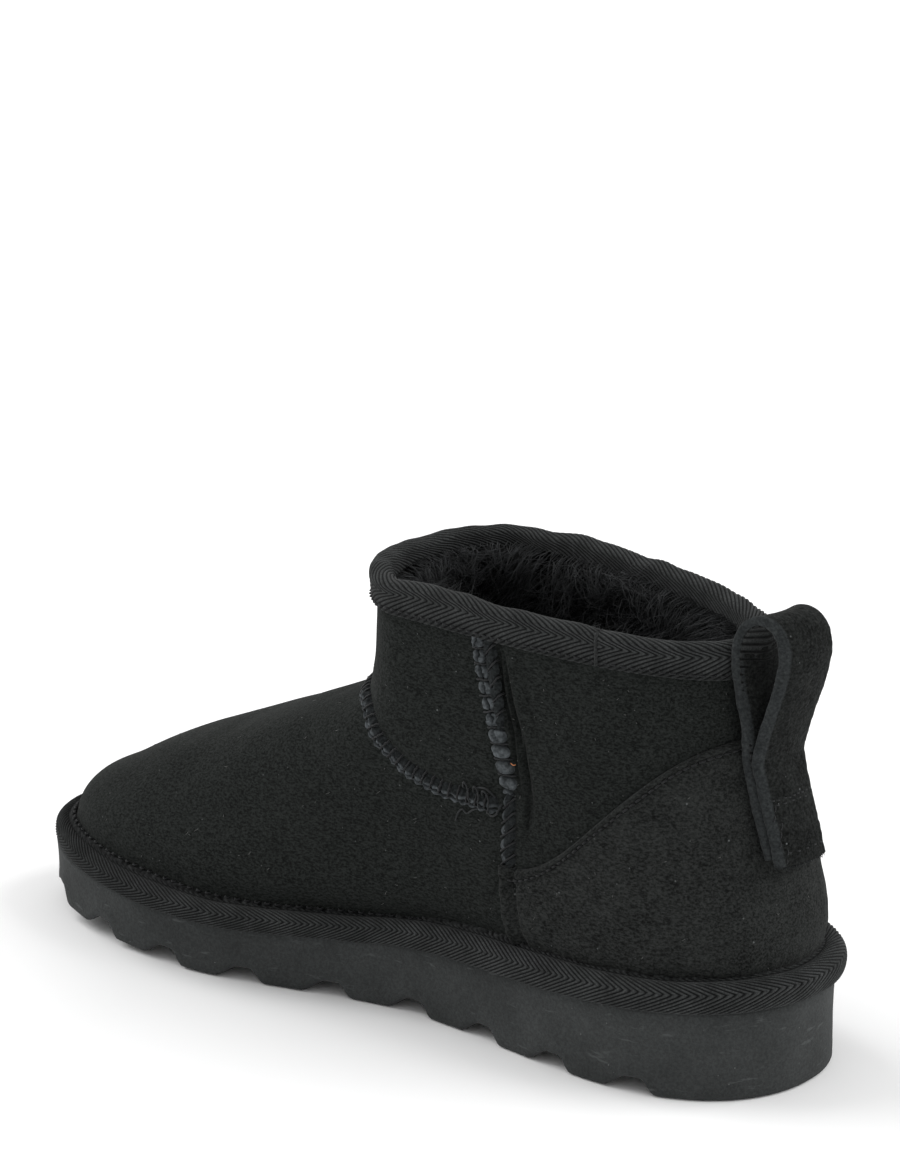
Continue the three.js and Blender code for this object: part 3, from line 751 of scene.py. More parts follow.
# ---- Outsole ----
def make_outsole():
    parts = 420
    flat = both_sides(dict(zip(RING_COLUMNS, SOLE_RING)), parts)
    along = np.roll(flat, -1, 0) - np.roll(flat, 1, 0)
    outward = unit(np.stack([along[:, 1], -along[:, 0]], 1))
    outward = outward * np.sign((outward * (flat - flat.mean(0))).sum(1).mean())
    loops = []
    rounding = [(1.3, 0.0), (0.5, 0.12), (0.1, 0.5), (0, 1.2)]  # inset, and drop below the top edge
    for inset, drop in rounding:
        place = flat - outward * inset
        loops.append(np.column_stack([place, sole_top(place[:, 0]) - drop]))
    for share in np.linspace(0.08, 0.9, 12):
        place = flat - outward * 0.35 * math.sin(math.pi * share)
        low = tread(place[:, 0]) + 1.6
        high = sole_top(place[:, 0]) - 1.2
        loops.append(np.column_stack([place, mix(high, low, share)]))
    for inset, rise in [(0.15, 1.1), (0.55, 0.45), (1.3, 0.1), (2.4, 0.0)]:
        place = flat - outward * inset
        loops.append(np.column_stack([place, tread(place[:, 0]) + rise]))
    points = np.concatenate(loops)
    points[:, 1] += 0.12 * lumps(points, 9, 21)
    around = 2 * parts
    faces = list(grid_faces(len(loops), around, wrap_columns=True)[:, ::-1])
    points = [points]
    start = len(loops) * around
    steps = 26
    for loop, height, flip in ((0, sole_top, False), (len(loops) - 1, tread, True)):
        edge = loops[loop]
        left = edge[1:parts]
        right = edge[:parts:-1]
        share = np.linspace(0, 1, steps + 1)[1:-1]
        inner = mix(left[:, None, :2], right[:, None, :2], share[None, :, None])
        inner = np.concatenate([inner, height(inner[..., :1])], -1)
        points.append(inner.reshape(-1, 3))
        base = loop * around
        for i in range(parts - 1):
            for k in range(steps):
                corners = []
                for row, column in ((i, k), (i, k + 1), (i + 1, k + 1), (i + 1, k)):
                    if column == 0:
                        corners.append(base + 1 + row)
                    elif column == steps:
                        corners.append(base + around - 1 - row)
                    else:
                        corners.append(start + row * (steps - 1) + column - 1)
                if i + 1 < parts - 1:
                    faces.append(corners if flip else corners[::-1])
        for tip, row in ((0, 0), (parts, parts - 2)):
            first = [base + 1 + row, *(start + row * (steps - 1) + k for k in range(steps - 1))]
            fan = [*first, base + around - 1 - row, base + tip]
            faces.append(fan if flip == (tip == parts) else fan[::-1])
        start += inner.shape[0] * inner.shape[1]
    sole = piece("foam_outsole", np.vstack(points), faces, FOAM)
    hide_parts("outsole")


# ---- Woven tape ----
def rib_height(turns):
    """Height of a woven rib, 0 to 1, one rib for each turn."""
    return ease(1.3 * np.abs(np.sin(math.pi * turns)) - 0.18)


def weave(total, pitch, steps, across, apex, steep):
    """Distances along a tape for a grid whose rows follow its herringbone ribs, and the ribs' height.

    across is each column's distance over the tape; the ribs turn back at apex."""
    count = round(total / pitch)
    start = np.arange(count * steps) * total / (count * steps)
    run = start[:, None] - np.abs(across - apex)[None, :] * steep
    rib = rib_height(np.arange(count * steps) / steps)
    return run, np.broadcast_to(rib[:, None], run.shape)


def raised(grid, height, pattern):
    """A grid of tape raised along its own normals. Rows run along, columns across."""
    along = np.roll(grid, -1, 0) - np.roll(grid, 1, 0)
    across = np.gradient(grid, axis=1)
    return grid + unit(np.cross(along, across)) * (height * pattern)[..., None]


def foot_line(share):
    """The foot line and its outward direction, at shares of the way around."""
    place = sample(plain_skin, share, 0)
    outward = sample(plain_normals, share, 0) * (1, 1, 0)
    return place, unit(outward)


# The welt from the upper's foot, over the outsole's edge, round the cord and up to the selvedge:
# share of the reach beyond the foot line, and height above the outsole.
WELT_SECTION = np.array([
    (0.05, 0.5), (0.5, 0.4), (0.82, 0.45), (0.94, 0.9), (1.0, 2.2), (1.02, 4.0), (0.98, 5.7),
    (0.88, 7.1), (0.72, 8.1), (0.54, 8.4), (0.38, 8.1), (0.28, 8.0), (0.2, 8.6), (0.12, 9.3),
    (0.04, 9.4), (-0.03, 8.8),
])


def make_welt():
    columns = 44
    curve = table_through(WELT_SECTION, np.linspace(0, len(WELT_SECTION) - 1, columns))
    across = walked(curve * (UPPER_INSET + WELT_OVERHANG, 1))
    total = walked(foot_line(np.linspace(0, 1, 2000))[0])[-1]
    run, pattern = weave(total, 2.1, 6, across, 12.5, 2.0)
    place, outward = foot_line(run / total)
    toe = ease((place[..., 0] - TOE_FROM) / (LENGTH - UPPER_INSET - TOE_FROM))
    reach = UPPER_INSET + mix(WELT_OVERHANG, TOE_OVERHANG, toe)
    grid = place + outward * (reach * curve[None, :, 0])[..., None]
    lower = 1 - 0.24 * ease((grid[..., 0] - 80) / 80)
    grid[..., 2] = sole_top(grid[..., 0]) + curve[None, :, 1] * lower + 0.16 * lumps(grid, 17, 31)
    selvedge = np.clip((np.arange(columns) - columns * 0.76) / 2, 0, 1)[None, :]
    frayed = 0.4 + 0.35 * lumps(grid, 1.1, 32)
    pattern = np.clip(mix(pattern, frayed, selvedge), 0, 1)
    points = raised(grid, 0.36, pattern)
    faces = grid_faces(*points.shape[:2], wrap_columns=True, wrap_rows=True)
    # painted shade in the dip between the cord and the selvedge
    groove_shade = 1 - 0.85 * bell(np.arange(columns) - columns * 0.71, 1.6)[None, :]
    # the welt's ribs darker towards the toe
    dimmed = 1 - 0.4 * ease((grid[..., 0] - 150) / 90)
    welt = piece("tape_welt", points, faces, CLOTH, shade=pattern * groove_shade * dimmed)
    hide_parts("welt")


JOIN_X, JOIN_Z = 54.0, 119.7  # where the binding's end lies over its beginning
BINDING_WIDTH = 8.0  # of the tape that shows outside
# The binding from its lower edge outside, over the rim and down inside: row, and distance out
# from the skin. Rows beyond TOP_ROW climb over the rim.
BINDING_SECTION = np.array([
    (8.0, 0.15), (8.0, 0.9), (8.06, 1.25), (8.3, 1.4), (8.6, 1.5), (8.8, 1.6), (9.0, 1.5),
    (9.09, 1.2), (9.15, 0.4), (9.18, -0.8), (9.16, -2.0), (9.1, -3.6), (9.0, -4.4), (8.7, -4.8),
    (8.3, -5.0), (8.0, -5.2), (7.7, -5.9), (7.68, -5.3), (7.9, -4.4), (8.5, -3.4),
])


def make_binding():
    columns = 54
    curve = table_through(BINDING_SECTION, np.linspace(0, len(BINDING_SECTION) - 1, columns))
    row, out = curve.T
    across = walked(np.stack([row * BINDING_WIDTH, out], 1))
    total = walked(on_skin(np.linspace(0, 1, 2000), 8.6, 1.5))[-1]
    run, pattern = weave(total, 2.5, 6, across, 6.6, 2.2)
    around = run / total
    grid = on_skin(around, np.minimum(row, TOP_ROW), out)
    grid[..., 2] += np.maximum(row - TOP_ROW, 0) * RIM_CLIMB
    edge = on_skin(around, TOP_ROW)
    wave = 0.5 * lumps(edge, 26, 41) + 0.28 * lumps(edge, 9, 42)
    grid[..., 2] += wave * ease((row - 8.3) / 0.6)
    join, _ = find(JOIN_X, JOIN_Z, 1)
    beyond = ((around - join + 0.5) % 1 - 0.5) * total
    lifted = 0.6 * ease(beyond / 0.5) * np.exp(-np.maximum(beyond, 0) / 6)
    outward = unit(sample(skin_normals, around, 8.5))
    outer_face = (row > BINDING_ROW) * (np.arange(columns) < columns / 2)
    grid = grid + outward * (lifted * outer_face)[..., None]
    lower = np.clip(1 - np.arange(columns) / 4.5, 0, 1)[None, :]
    pattern = np.clip(mix(pattern, 0.5 + 0.35 * lumps(grid, 1.1, 43), lower), 0, 1)
    points = raised(grid, 0.32, pattern)
    faces = grid_faces(*points.shape[:2], wrap_columns=True, wrap_rows=True)
    # painted shadow along the step where the tape's end lies over its start
    shade = pattern * (1 - 0.9 * bell(beyond - 0.1, 0.35))
    shade = shade * (1 - 0.5 * bell(np.arange(columns) - 5.5, 1.2)[None, :])
    binding = piece("tape_binding", points, faces, CLOTH, shade=shade)
    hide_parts("collar_binding")
    make_tape_join(join)


def make_tape_join(join):
    """The cut end of the collar's tape, turned over into a thin roll across it, with a painted
    highlight.
    """
    rows = np.linspace(8.02, 9.12, 16)
    lift = 2.0 - 0.9 * ease((rows - TOP_ROW) / 0.12)
    path = on_skin(join, np.minimum(rows, TOP_ROW), lift)
    path[:, 2] += np.maximum(rows - TOP_ROW, 0) * RIM_CLIMB
    points, faces = tubes(path[None], 0.55, sample(skin_normals, join, 8.5))
    # the roll in mostly the crest colour: a painted highlight along the join
    piece("tape_join", points, faces, CLOTH, shade=np.full(len(points), 0.7))


def make_edge_stitches():
    """The rows that hold the binding's lower edge and the welt's selvedge."""
    specs = [
        (1400, 8.13, dict(pitch=2.7, length=1.5, lift=1.75, sink=0.3, radius=0.22)),
        (2400, 0.84, dict(pitch=3.4, length=1.7, lift=0.75, sink=0.35, radius=0.26)),
    ]
    parts = []
    for count, row, sizes in specs:
        places = np.stack([np.linspace(0.002, 0.998, count), np.full(count, row)], 1)
        parts.append(dashes(places, **sizes))
    points, faces = joined(parts)
    piece("edge_stitches", points, faces, THREAD)


# ---- Heel counter ----
def counter_top(x):
    """Height of the counter's edge at a place along the boot."""
    edge = COUNTER_EDGE
    t = (x - edge["back_x"]) / (edge["front_x"] - edge["back_x"])
    return mix(edge["back_z"], edge["front_z"], ease(t))


# The counter's front edge, over the seam's lower strip: x and z.
COUNTER_FRONT = [(84.8, 58), (85.0, 54), (85.0, 49), (84.0, 41), (81.6, 33)]


def counter_places(count):
    """A function giving places around at rows: from the inner front edge to the outer one."""
    inner_edge, outer_edge = (places_of(COUNTER_FRONT, side)[::-1] for side in (1, -1))
    share = np.linspace(0, 1, count)

    def places(rows):
        inner = np.interp(rows, inner_edge[:, 1], inner_edge[:, 0]) - 1
        outer = np.interp(rows, outer_edge[:, 1], outer_edge[:, 0])
        return mix(inner, outer, share[None, :])

    return places


def make_counter():
    """The heel's overlay. Returns its upper edge, as places around and rows."""
    columns = 250
    tall = 60
    places = counter_places(columns)
    scan = np.linspace(1.0, 7.5, 260)[:, None]
    line = on_skin(places(scan), scan)
    top = scan[np.argmax(line[..., 2] > counter_top(line[..., 0]), axis=0), 0]
    averaged = 9
    top = np.convolve(np.pad(top, averaged // 2, mode="edge"), np.ones(averaged) / averaged, "valid")
    bottom = 0.95
    share = np.linspace(0, 1, tall)[:, None]
    rows = mix(bottom, top[None, :], share)
    around = places(rows)
    base = on_skin(around, rows)
    step = np.linalg.norm(np.diff(base, axis=1), axis=-1)
    from_front = np.concatenate([np.zeros((tall, 1)), np.cumsum(step, axis=1)], axis=1)
    from_front = np.minimum(from_front, from_front[:, -1:] - from_front)
    near_top = (1 - share) * (top - bottom)[None, :] * ROW_HEIGHT
    edge = np.minimum(near_top, from_front)
    lift = GAP + COUNTER * (0.35 + 0.65 * ease(edge / 1.1)) + 0.5 * bell(edge - 1.4, 1.0)
    lift = lift - 0.45 * bell(near_top - 3.3, 0.8)
    lift = lift + 1.3 * bell(from_front - 2.8, 2.1) - 1.2 * bell(from_front - 6.2, 0.9)
    lift = lift + 0.12 * lumps(base, 4.5, 51) + 0.2 * lumps(base, 15, 52)
    lift = lift + 0.45 * lumps(base, 2.4, 53) * bell(from_front - 2.6, 2.6)
    front = on_skin(around, rows, lift)
    back = on_skin(around, rows, 0.05)
    points = np.concatenate([front.reshape(-1, 3), back.reshape(-1, 3)])
    outer = grid_faces(tall, columns)
    faces = [*outer, *(outer[:, ::-1] + tall * columns)]
    rim = [*range(columns), *(r * columns + columns - 1 for r in range(1, tall))]
    rim += [*((tall - 1) * columns + c for c in range(columns - 2, -1, -1))]
    rim += [*(r * columns for r in range(tall - 2, 0, -1))]
    size = tall * columns
    for a, b in zip(rim, rim[1:] + rim[:1]):
        faces.append([b, a, a + size, b + size])
    counter = piece("suede_counter", points, faces, ROUGH)
    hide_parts("heel_counter")
    return around[-1], top


def dashes(places, pitch, length, lift, sink, radius):
    """Stitches along a line of places: each rises from the hide and dips back in."""
    run = walked(sample(skin, *places.T))
    starts = np.arange(pitch / 2, run[-1] - pitch, pitch)
    share = np.linspace(0, 1, 6)
    want = starts[:, None] + share * length
    around, row = (np.interp(want, run, column) for column in places.T)
    rise = lift - sink + sink * 2 * np.sin(math.pi * share) ** 0.6
    paths = on_skin(around, row, rise)
    return tubes(paths, radius, sample(skin_normals, around, row))


def make_counter_stitches(around, top):
    below = 0.25  # rows under the edge
    corner = 6  # columns left out at each end
    places = np.stack([around, top - below], 1)[corner:-corner]
    lift = GAP + COUNTER + 0.05
    points, faces = dashes(places, pitch=2.3, length=1.6, lift=lift, sink=0.25, radius=0.3)
    piece("counter_stitches", points, faces, THREAD)


# ---- Whipped seams ----
def frame_along(places):
    """Points, outward normals and sideways directions of a line on the skin."""
    line = on_skin(*places.T)
    ahead = unit(np.gradient(line, axis=0))
    outward = unit(sample(skin_normals, *places.T))
    return line, outward, unit(np.cross(ahead, outward))


def whipped_band(places, half, height, pitch, slant, pinch, split, pale, reach, seed):
    """A raised band drawn in by thread at every pitch. Returns its mesh, shade and threads.

    split is the place across of a dark line between two raw edges, or None. pale lists how light
    the band is across its width. reach is how far across the threads go. A band split down its
    middle closes up towards its lower end."""
    line, outward, sideways = frame_along(places)
    run = walked(line)
    share = np.linspace(0, 1, len(line))
    half = np.interp(share, np.linspace(0, 1, len(half)), half)
    w = np.linspace(-1, 1, 21)
    closing = split == 0
    wobble = np.random.default_rng(seed).normal(0, 0.12, 400)
    phase = (run[:, None] + slant * w * half[:, None]) / pitch
    nearest = np.round(phase)
    gone = np.abs(phase - nearest) * pitch
    puff = 1 + 1.2 * wobble[nearest.astype(int) % 400]
    profile = (1 - w**2)[None, :] ** 0.45 * puff
    drawn = 1 - pinch * bell(gone, 0.55)
    rough = 1 + 0.13 * lumps(line[:, None] + sideways[:, None] * (w * 2)[..., None], 1.3, seed + 2)
    tall = height * profile * drawn * rough
    if split is not None:
        wander = split + 0.08 * np.sin(run * 1.3 + seed)
        joined_up = 1 - 0.75 * closing * ease((share - 0.5) / 0.2)[:, None]
        parted = joined_up * bell(w[None, :] - wander[:, None], 0.14)
        tall = tall - 0.6 * height * parted
    wide = half[:, None] * (1 - 0.75 * pinch * bell(gone, 0.95)) * (0.9 + 0.1 * puff)
    points = line[:, None] + sideways[:, None] * (w * wide)[..., None]
    grid = points + outward[:, None] * (tall - 0.35)[..., None]
    grid = grid + outward[:, None] * (0.1 * lumps(grid, 2.2, seed))[..., None]
    ends = np.minimum(run, run[-1] - run)
    grid = grid - outward[:, None] * (1.2 * bell(ends, 0.8))[:, None, None]
    lowest = np.interp(w, *zip(*pale))
    # paleness across the band, with painted shade where the thread pinches it between the puffs
    shade = lowest[None, :] * drawn**2 * (0.75 + 0.3 * lumps(grid, 1.4, seed + 1))
    if split is not None:
        shade = shade * (1 - 0.9 * parted)
    shade = np.clip(shade, 0, 1)
    knots = np.arange(1, int(run[-1] / pitch))
    across = np.linspace(*reach, 11)
    middle = np.interp(knots * pitch, run, np.arange(len(run)))
    lean = slant * across * half[middle.astype(int)][:, None]
    want = np.clip(knots[:, None] * pitch - lean, 0, run[-1])
    low = np.interp(want, run, np.arange(len(run))).astype(int)
    over = (1 - np.clip(np.abs(across), 0, 1) ** 2.4) ** 0.5
    ends_in = np.minimum(across - reach[0], reach[1] - across)
    lifted = height * (1 - pinch) * over + 0.22 - 0.9 * bell(ends_in, 0.08)
    paths = line[low] + sideways[low] * (across * half[low] * 0.97)[..., None]
    paths = paths + outward[low] * lifted[:, None]
    return grid, shade, tubes(paths, 0.3, outward[low])


def make_seams():
    """Four bands on each side: the top strip, the side seam, the low strip and the vamp seam."""
    threads = []
    bands = []
    plain = [(-1, 0.05), (1, 0.05)]
    for side in (1, -1):
        seam = route(SEAM_LINE, side, 0.25)
        strip = route(SEAM_STRIP, side, 0.25)
        low = route(LOW_STRIP, side, 0.25)
        vamp_places = places_of(VAMP_LINE, side)
        front = (0.5 - 0.005 * side, vamp_places[0, 1])
        vamp = spaced(np.vstack([front, vamp_places]), 0.25)
        puffed = [(-1, 0.45), (-0.7, 1.0), (0.7, 1.0), (1, 0.45)]
        edged = [(-1, 0.05), (-0.2, 0.06), (0.02, 1.0), (1, 0.95)]
        low_edge = [(-1, 0.03), (0.25, 0.06), (0.5, 0.9), (1, 0.7)]
        wide = (-1.1, 1.1)
        rung = (-1.15, 0.5)
        if side < 0:
            edged = [(-at, level) for at, level in reversed(edged)]
            low_edge = [(-at, level) for at, level in reversed(low_edge)]
            rung = (-0.5, 1.15)
        # Places, half-widths, height, pitch, slant, pinch, split, pale, reach and seed.
        specs = [
            (strip, [2.4, 2.3, 2.1, 1.5, 0.9], 1.7, 4.6, -0.75, 0.6, None, plain, wide, 61),
            (seam, [2.1, 2.5, 2.9, 3.1, 3.2, 3.2], 2.3, 4.6, 0.1, 0.62, 0.0, puffed, wide, 62),
            (low, [2.3, 2.8, 2.9, 2.9, 2.8], 1.7, 4.2, -0.8, 0.62, None, low_edge, wide, 63),
            (vamp, [2.8, 3.0, 3.1, 3.2], 1.7, 3.2, 0.15, 0.3, 0.42 * side, edged, rung, 64),
        ]
        for places, half, height, pitch, slant, *rest, seed in specs:
            grid, shade, thread = whipped_band(
                places, half, height, pitch, slant * side, *rest, seed + 10 * side
            )
            bands.append((grid, shade))
            threads.append(thread)
    start = 0
    faces = []
    for grid, _ in bands:
        faces.append(grid_faces(grid.shape[0], grid.shape[1], start=start))
        start += grid.shape[0] * grid.shape[1]
    points = np.vstack([grid.reshape(-1, 3) for grid, _ in bands])
    shade = np.concatenate([level.ravel() for _, level in bands])
    piece("seam_edges", points, np.vstack(faces), EDGE, shade=shade)
    points, faces = joined(threads)
    piece("seam_threads", points, faces, THREAD)


# ---- Pull tab ----
TAB = dict(
    width=19.0, layer=3.2, bottom=68.5, pinch=94.0, aside=4.0, loop_width=19.0, loop_height=47.0,
    lean=-0.05, bend_low=0.016, bend_high=0.02, off=2.4, drop=2.2, swell=1.55,
)


def heel_line(z):
    """Boot x of the plain heel at a height."""
    backs = plain_skin[:, 0]
    return np.interp(z, backs[:, 2], backs[:, 0])


def tab_route(inset):
    """The strap's line from the side, a given depth inside its outer face: up, over and down."""
    t = TAB
    layer = t["layer"]
    rising = np.linspace(t["bottom"], t["pinch"] + 2, 60)
    front = heel_line(rising) - t["off"]
    inner_face = front - inset
    foot = np.array([heel_line(t["pinch"]) - t["off"] - layer, t["pinch"] - layer])
    turn = np.linspace(0.36 * math.pi, 1.64 * math.pi, 150)
    wide = t["loop_width"] - 2 * inset
    high = t["loop_height"] - 2 * inset
    up = inset + high * (1 - np.cos(turn)) / 2
    out = wide / 2 * np.sin(turn) * np.abs(np.sin(turn / 2)) ** t["drop"] * t["swell"]
    drop = np.stack([foot[0] + out + t["lean"] * up, foot[1] + up], 1)
    down = np.linspace(t["pinch"] + 2, t["bottom"] - 1.5, 60)
    outer_face = heel_line(down) - t["off"] - 2 * layer + inset
    return np.vstack([np.stack([inner_face, rising], 1), drop, np.stack([outer_face, down], 1)])


def smooth_line(line, spacing, soften):
    run = walked(line)
    return smoothed(read_at(np.arange(0, run[-1], spacing), run, line), soften)


def bend_tab(x, y, z):
    """A flat strap's point moved aside and curved round the heel, more so towards the top."""
    t = TAB
    up = np.clip((z - t["bottom"]) / (2 * (t["pinch"] - t["bottom"])), 0, 1)
    moved = y + t["aside"]
    return np.stack([x + mix(t["bend_low"], t["bend_high"], up) * moved**2, moved, z], -1)


def strap(inset, thick, width, section, spacing):
    """A strap swept along the tab's route. section gives (depth share, width share) points."""
    line = smooth_line(tab_route(inset), spacing, 2 * int(2.5 / spacing) + 1)
    ahead = unit(np.gradient(line, axis=0))
    inward = np.stack([-ahead[:, 1], ahead[:, 0]], 1)
    depth = section[:, 0] * thick
    x = line[:, None, 0] + inward[:, None, 0] * depth
    z = line[:, None, 1] + inward[:, None, 1] * depth
    y = np.broadcast_to(section[:, 1] * width / 2, x.shape)
    return bend_tab(x, y, z), line


def make_tab():
    """The suede strap: two broad faces with rounded, paler cut edges."""
    corner = 0.16
    wide = 30
    edge = 6
    face = [(0.0, share) for share in np.linspace(-1 + corner, 1 - corner, wide)]
    side = []
    for depth in np.linspace(0.14, 0.86, edge):
        side.append((depth, 1 - corner * 0.35 * (1 - math.sin(math.pi * depth))))
    back = [(1.0, share) for share in np.linspace(1 - corner, -1 + corner, wide)]
    other = [(depth, -share) for depth, share in reversed(side)]
    section = np.array(face + side + back + other)
    layer = TAB["layer"]
    grid, _ = strap(layer / 2, layer - 0.4, TAB["width"], section - (0.5, 0), 0.65)
    grid = grid + 0.07 * lumps(grid, 2.4, 71)[..., None] * (1, 0.8, 0)
    grid[..., 1] += 0.18 * lumps(grid[:, :1], 12, 72)
    shade = np.zeros(grid.shape[:2])
    shade[:, wide - 1 : wide + edge + 1] = 0.2
    shade[:, 2 * wide + edge :] = 0.2
    faces = closed_sweep(*grid.shape[:2])
    strap_piece = piece("suede_pull_strap", grid, faces, STRAP, shade=shade)
    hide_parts("pull_tab")


def make_tab_lining():
    """The woven tape sewn inside the loop."""
    front, back = 60, 12
    spacing = 0.4
    pitch = 2.2
    broad = TAB["width"] - 1.6
    section = [(0.0, share) for share in np.linspace(-1, 1, front)]
    section += [(1.0, share) for share in np.linspace(1, -1, back)]
    tape, line = strap(TAB["layer"] - 0.22, 0.45, broad, np.array(section) - (0.5, 0), spacing)
    tape = tape[line[:, 1] > TAB["pinch"] - 3]
    run = np.arange(len(tape)) * spacing
    across = np.concatenate([np.linspace(0, broad, front), np.linspace(broad, 0, back)])
    pattern = rib_height((run[:, None] + np.abs(across - broad / 2)[None, :] * 1.2) / pitch)
    points = raised(tape, 0.22, pattern)
    piece("tab_tape_lining", points, closed_sweep(*tape.shape[:2]), CLOTH, shade=pattern)


def tab_outer(width_share, z, lift):
    """A point on the outer face of the strap's sewn part."""
    line = smooth_line(tab_route(0.45), 0.5, 11)
    outer = line[len(line) // 2 :]
    order = np.argsort(outer[:, 1])
    x = np.interp(z, outer[order, 1], outer[order, 0])
    return bend_tab(x - lift, np.asarray(width_share) * TAB["width"] / 2, np.asarray(z, float))


def make_tab_details():
    """Bar stitches across the strap, a row of stitches down it, and the frayed lower edge."""
    chance = np.random.default_rng(75)
    share = np.linspace(0, 1, 7)
    rise = 0.3 * np.sin(math.pi * share)
    bar_rows = ((85.5, 9), (84.2, 6), (71.0, 5))  # height and number of stitches
    paths = []
    for height, count in bar_rows:
        for k in range(count):
            start = -0.86 + 1.72 * k / count + chance.uniform(0, 0.04)
            width = start + 0.13 * share
            z = height + chance.normal(0, 0.15) + 0.35 * (width - start)
            paths.append(tab_outer(width, z, 0.05 + rise))
    for k in range(7):
        width = 0.72 + 0.1 * np.sin(k * 2.1) + 0.07 * share
        paths.append(tab_outer(width, 84 - 2.4 * k - 1.6 * share, 0.08 + rise))
    paths = np.array(paths)
    points, faces = tubes(paths, 0.22, np.broadcast_to((-1.0, 0.0, 0.2), paths.shape))
    piece("tab_stitches", points, faces, THREAD)
    count = 520
    width = chance.uniform(-0.97, 0.97, count)
    z = chance.uniform(67.5, 68.7, count)
    depth = chance.uniform(0.2, 2.6, count)
    roots = tab_outer(width, z, -depth)
    ahead = np.tile((-0.25, 0.0, -1.0), (count, 1))
    lift = np.tile((0.0, 0.0, -1.0), (count, 1))
    points, faces = strands(
        roots, ahead, lift, length=1.5, curl=0.1, radius=0.13, seed=76, clumps=60, gather=0.4
    )
    piece("tab_frayed_edge", points, faces, STRAP, shade=np.full(len(points), 0.15))


def skin_thread(corners, side, lift, radius=0.27, spacing=0.25):
    """A thread lying over the hide along corners (x, z). lift gives its height at each corner."""
    places = route(corners, side, spacing)
    rise = np.interp(np.linspace(0, 1, len(places)), np.linspace(0, 1, len(lift)), lift)
    path = on_skin(*places.T, rise)
    return tubes(path[None], radius, sample(skin_normals, *places.T)[None])


def make_loose_threads():
    """Untidy sewing where the vamp seam meets the side seam, on the inner side."""
    # Corners as x and z, and the height over the hide at each.
    tangles = [
        ([(96.8, 75.5), (95.8, 77.6), (94.4, 76.2), (94.2, 72.5), (94.8, 70.6)],
         [0.4, 1.2, 1.6, 2.2, 0.6]),
        ([(93.4, 74.8), (92.4, 77.2), (91.0, 75.8), (90.8, 72.0), (91.6, 70.0)],
         [0.4, 1.2, 1.6, 2.2, 0.6]),
        ([(90.4, 74.4), (89.6, 76.6), (88.0, 75.6), (87.4, 72.4), (88.4, 69.6)],
         [0.4, 1.4, 1.8, 2.2, 0.6]),
        ([(92.6, 76.4), (90.2, 77.2), (87.8, 76.8), (86.2, 74.6)], [0.4, 1.0, 1.2, 0.4]),
        ([(88.8, 70.4), (86.6, 69.4), (84.8, 70.4), (83.8, 73.4)], [0.6, 1.6, 2.2, 1.0]),
        ([(90.8, 70.2), (93.2, 69.4), (95.6, 68.0), (97.2, 69.0), (98.8, 67.6), (99.8, 64.9)],
         [0.6, 0.9, 0.5, 0.7, 0.4, 0.5]),
    ]
    parts = [skin_thread(corners, 1, lift) for corners, lift in tangles]
    points, faces = joined(parts)
    piece("loose_threads", points, faces, PALE_THREAD)


def make_lint():
    """Short pale fibres caught in the nap, and one orange one in the side seam."""
    chance = np.random.default_rng(77)
    count = 260
    around = chance.uniform(0, 1, count)
    row = chance.uniform(1.0, 7.9, count)
    turn = chance.uniform(0, 2 * math.pi, count)
    share = np.linspace(-0.5, 0.5, 5)
    reach = chance.uniform(0.3, 0.9, count)
    column = around[:, None] + np.cos(turn)[:, None] * reach[:, None] * share / GIRTH
    rows = row[:, None] + np.sin(turn)[:, None] * reach[:, None] * share / ROW_HEIGHT
    rows = rows + 0.02 * share**2
    behind = on_skin(around, row)
    below_edge = behind[:, 2] < counter_top(behind[:, 0])
    on_counter = below_edge * (behind[:, 0] < COUNTER_EDGE["front_x"] + 3.0)
    lift = 0.08 + (COUNTER + GAP) * on_counter
    paths = on_skin(column, rows, lift[:, None])
    points, faces = tubes(paths, 0.045, sample(skin_normals, column, rows), sides=3)
    piece("lint", points, faces, LINT)
    orange = [(79.9, 86.2), (79.3, 86.4), (78.8, 86.2)]
    points, faces = skin_thread(orange, 1, [2.0, 2.2, 2.0], radius=0.14, spacing=0.2)
    piece("orange_fibre", points, faces, ORANGE)


# ---- Fur ----
def strands(roots, ahead, lift, length, curl, radius, seed, clumps, gather):
    """Tapered strands from roots. Tips near each other are drawn together into clumps.

    ahead is each strand's heading and lift the way its middle bulges. gather is how far, 0 to 1,
    the tips go towards their clump."""
    chance = np.random.default_rng(seed)
    count = len(roots)
    heading = unit(ahead + chance.normal(0, 0.28, (count, 3)))
    reach = length * chance.uniform(0.65, 1.25, (count, 1))
    tips = roots + heading * reach
    centres = tips[chance.choice(count, clumps, replace=False)]
    nearest = ((tips[:, None] - centres[None]) ** 2).sum(-1).argmin(1)
    tips = mix(tips, centres[nearest], gather * chance.uniform(0.5, 1.0, (count, 1)))
    side = unit(np.cross(heading, chance.normal(size=(count, 3))))
    share = np.array([0, 0.36, 0.7, 1.0])
    middle = roots + lift * reach * 0.55
    paths = (
        roots[:, None] * ((1 - share) ** 2)[:, None]
        + middle[:, None] * (2 * share * (1 - share))[:, None]
        + tips[:, None] * (share**2)[:, None]
    )
    paths = paths + side[:, None] * (curl * np.sin(share * 5.0) * reach)[..., None]
    taper = radius * np.array([1.0, 0.85, 0.55, 0.12])
    return tubes(paths, taper, np.broadcast_to(side[:, None], paths.shape), sides=3)


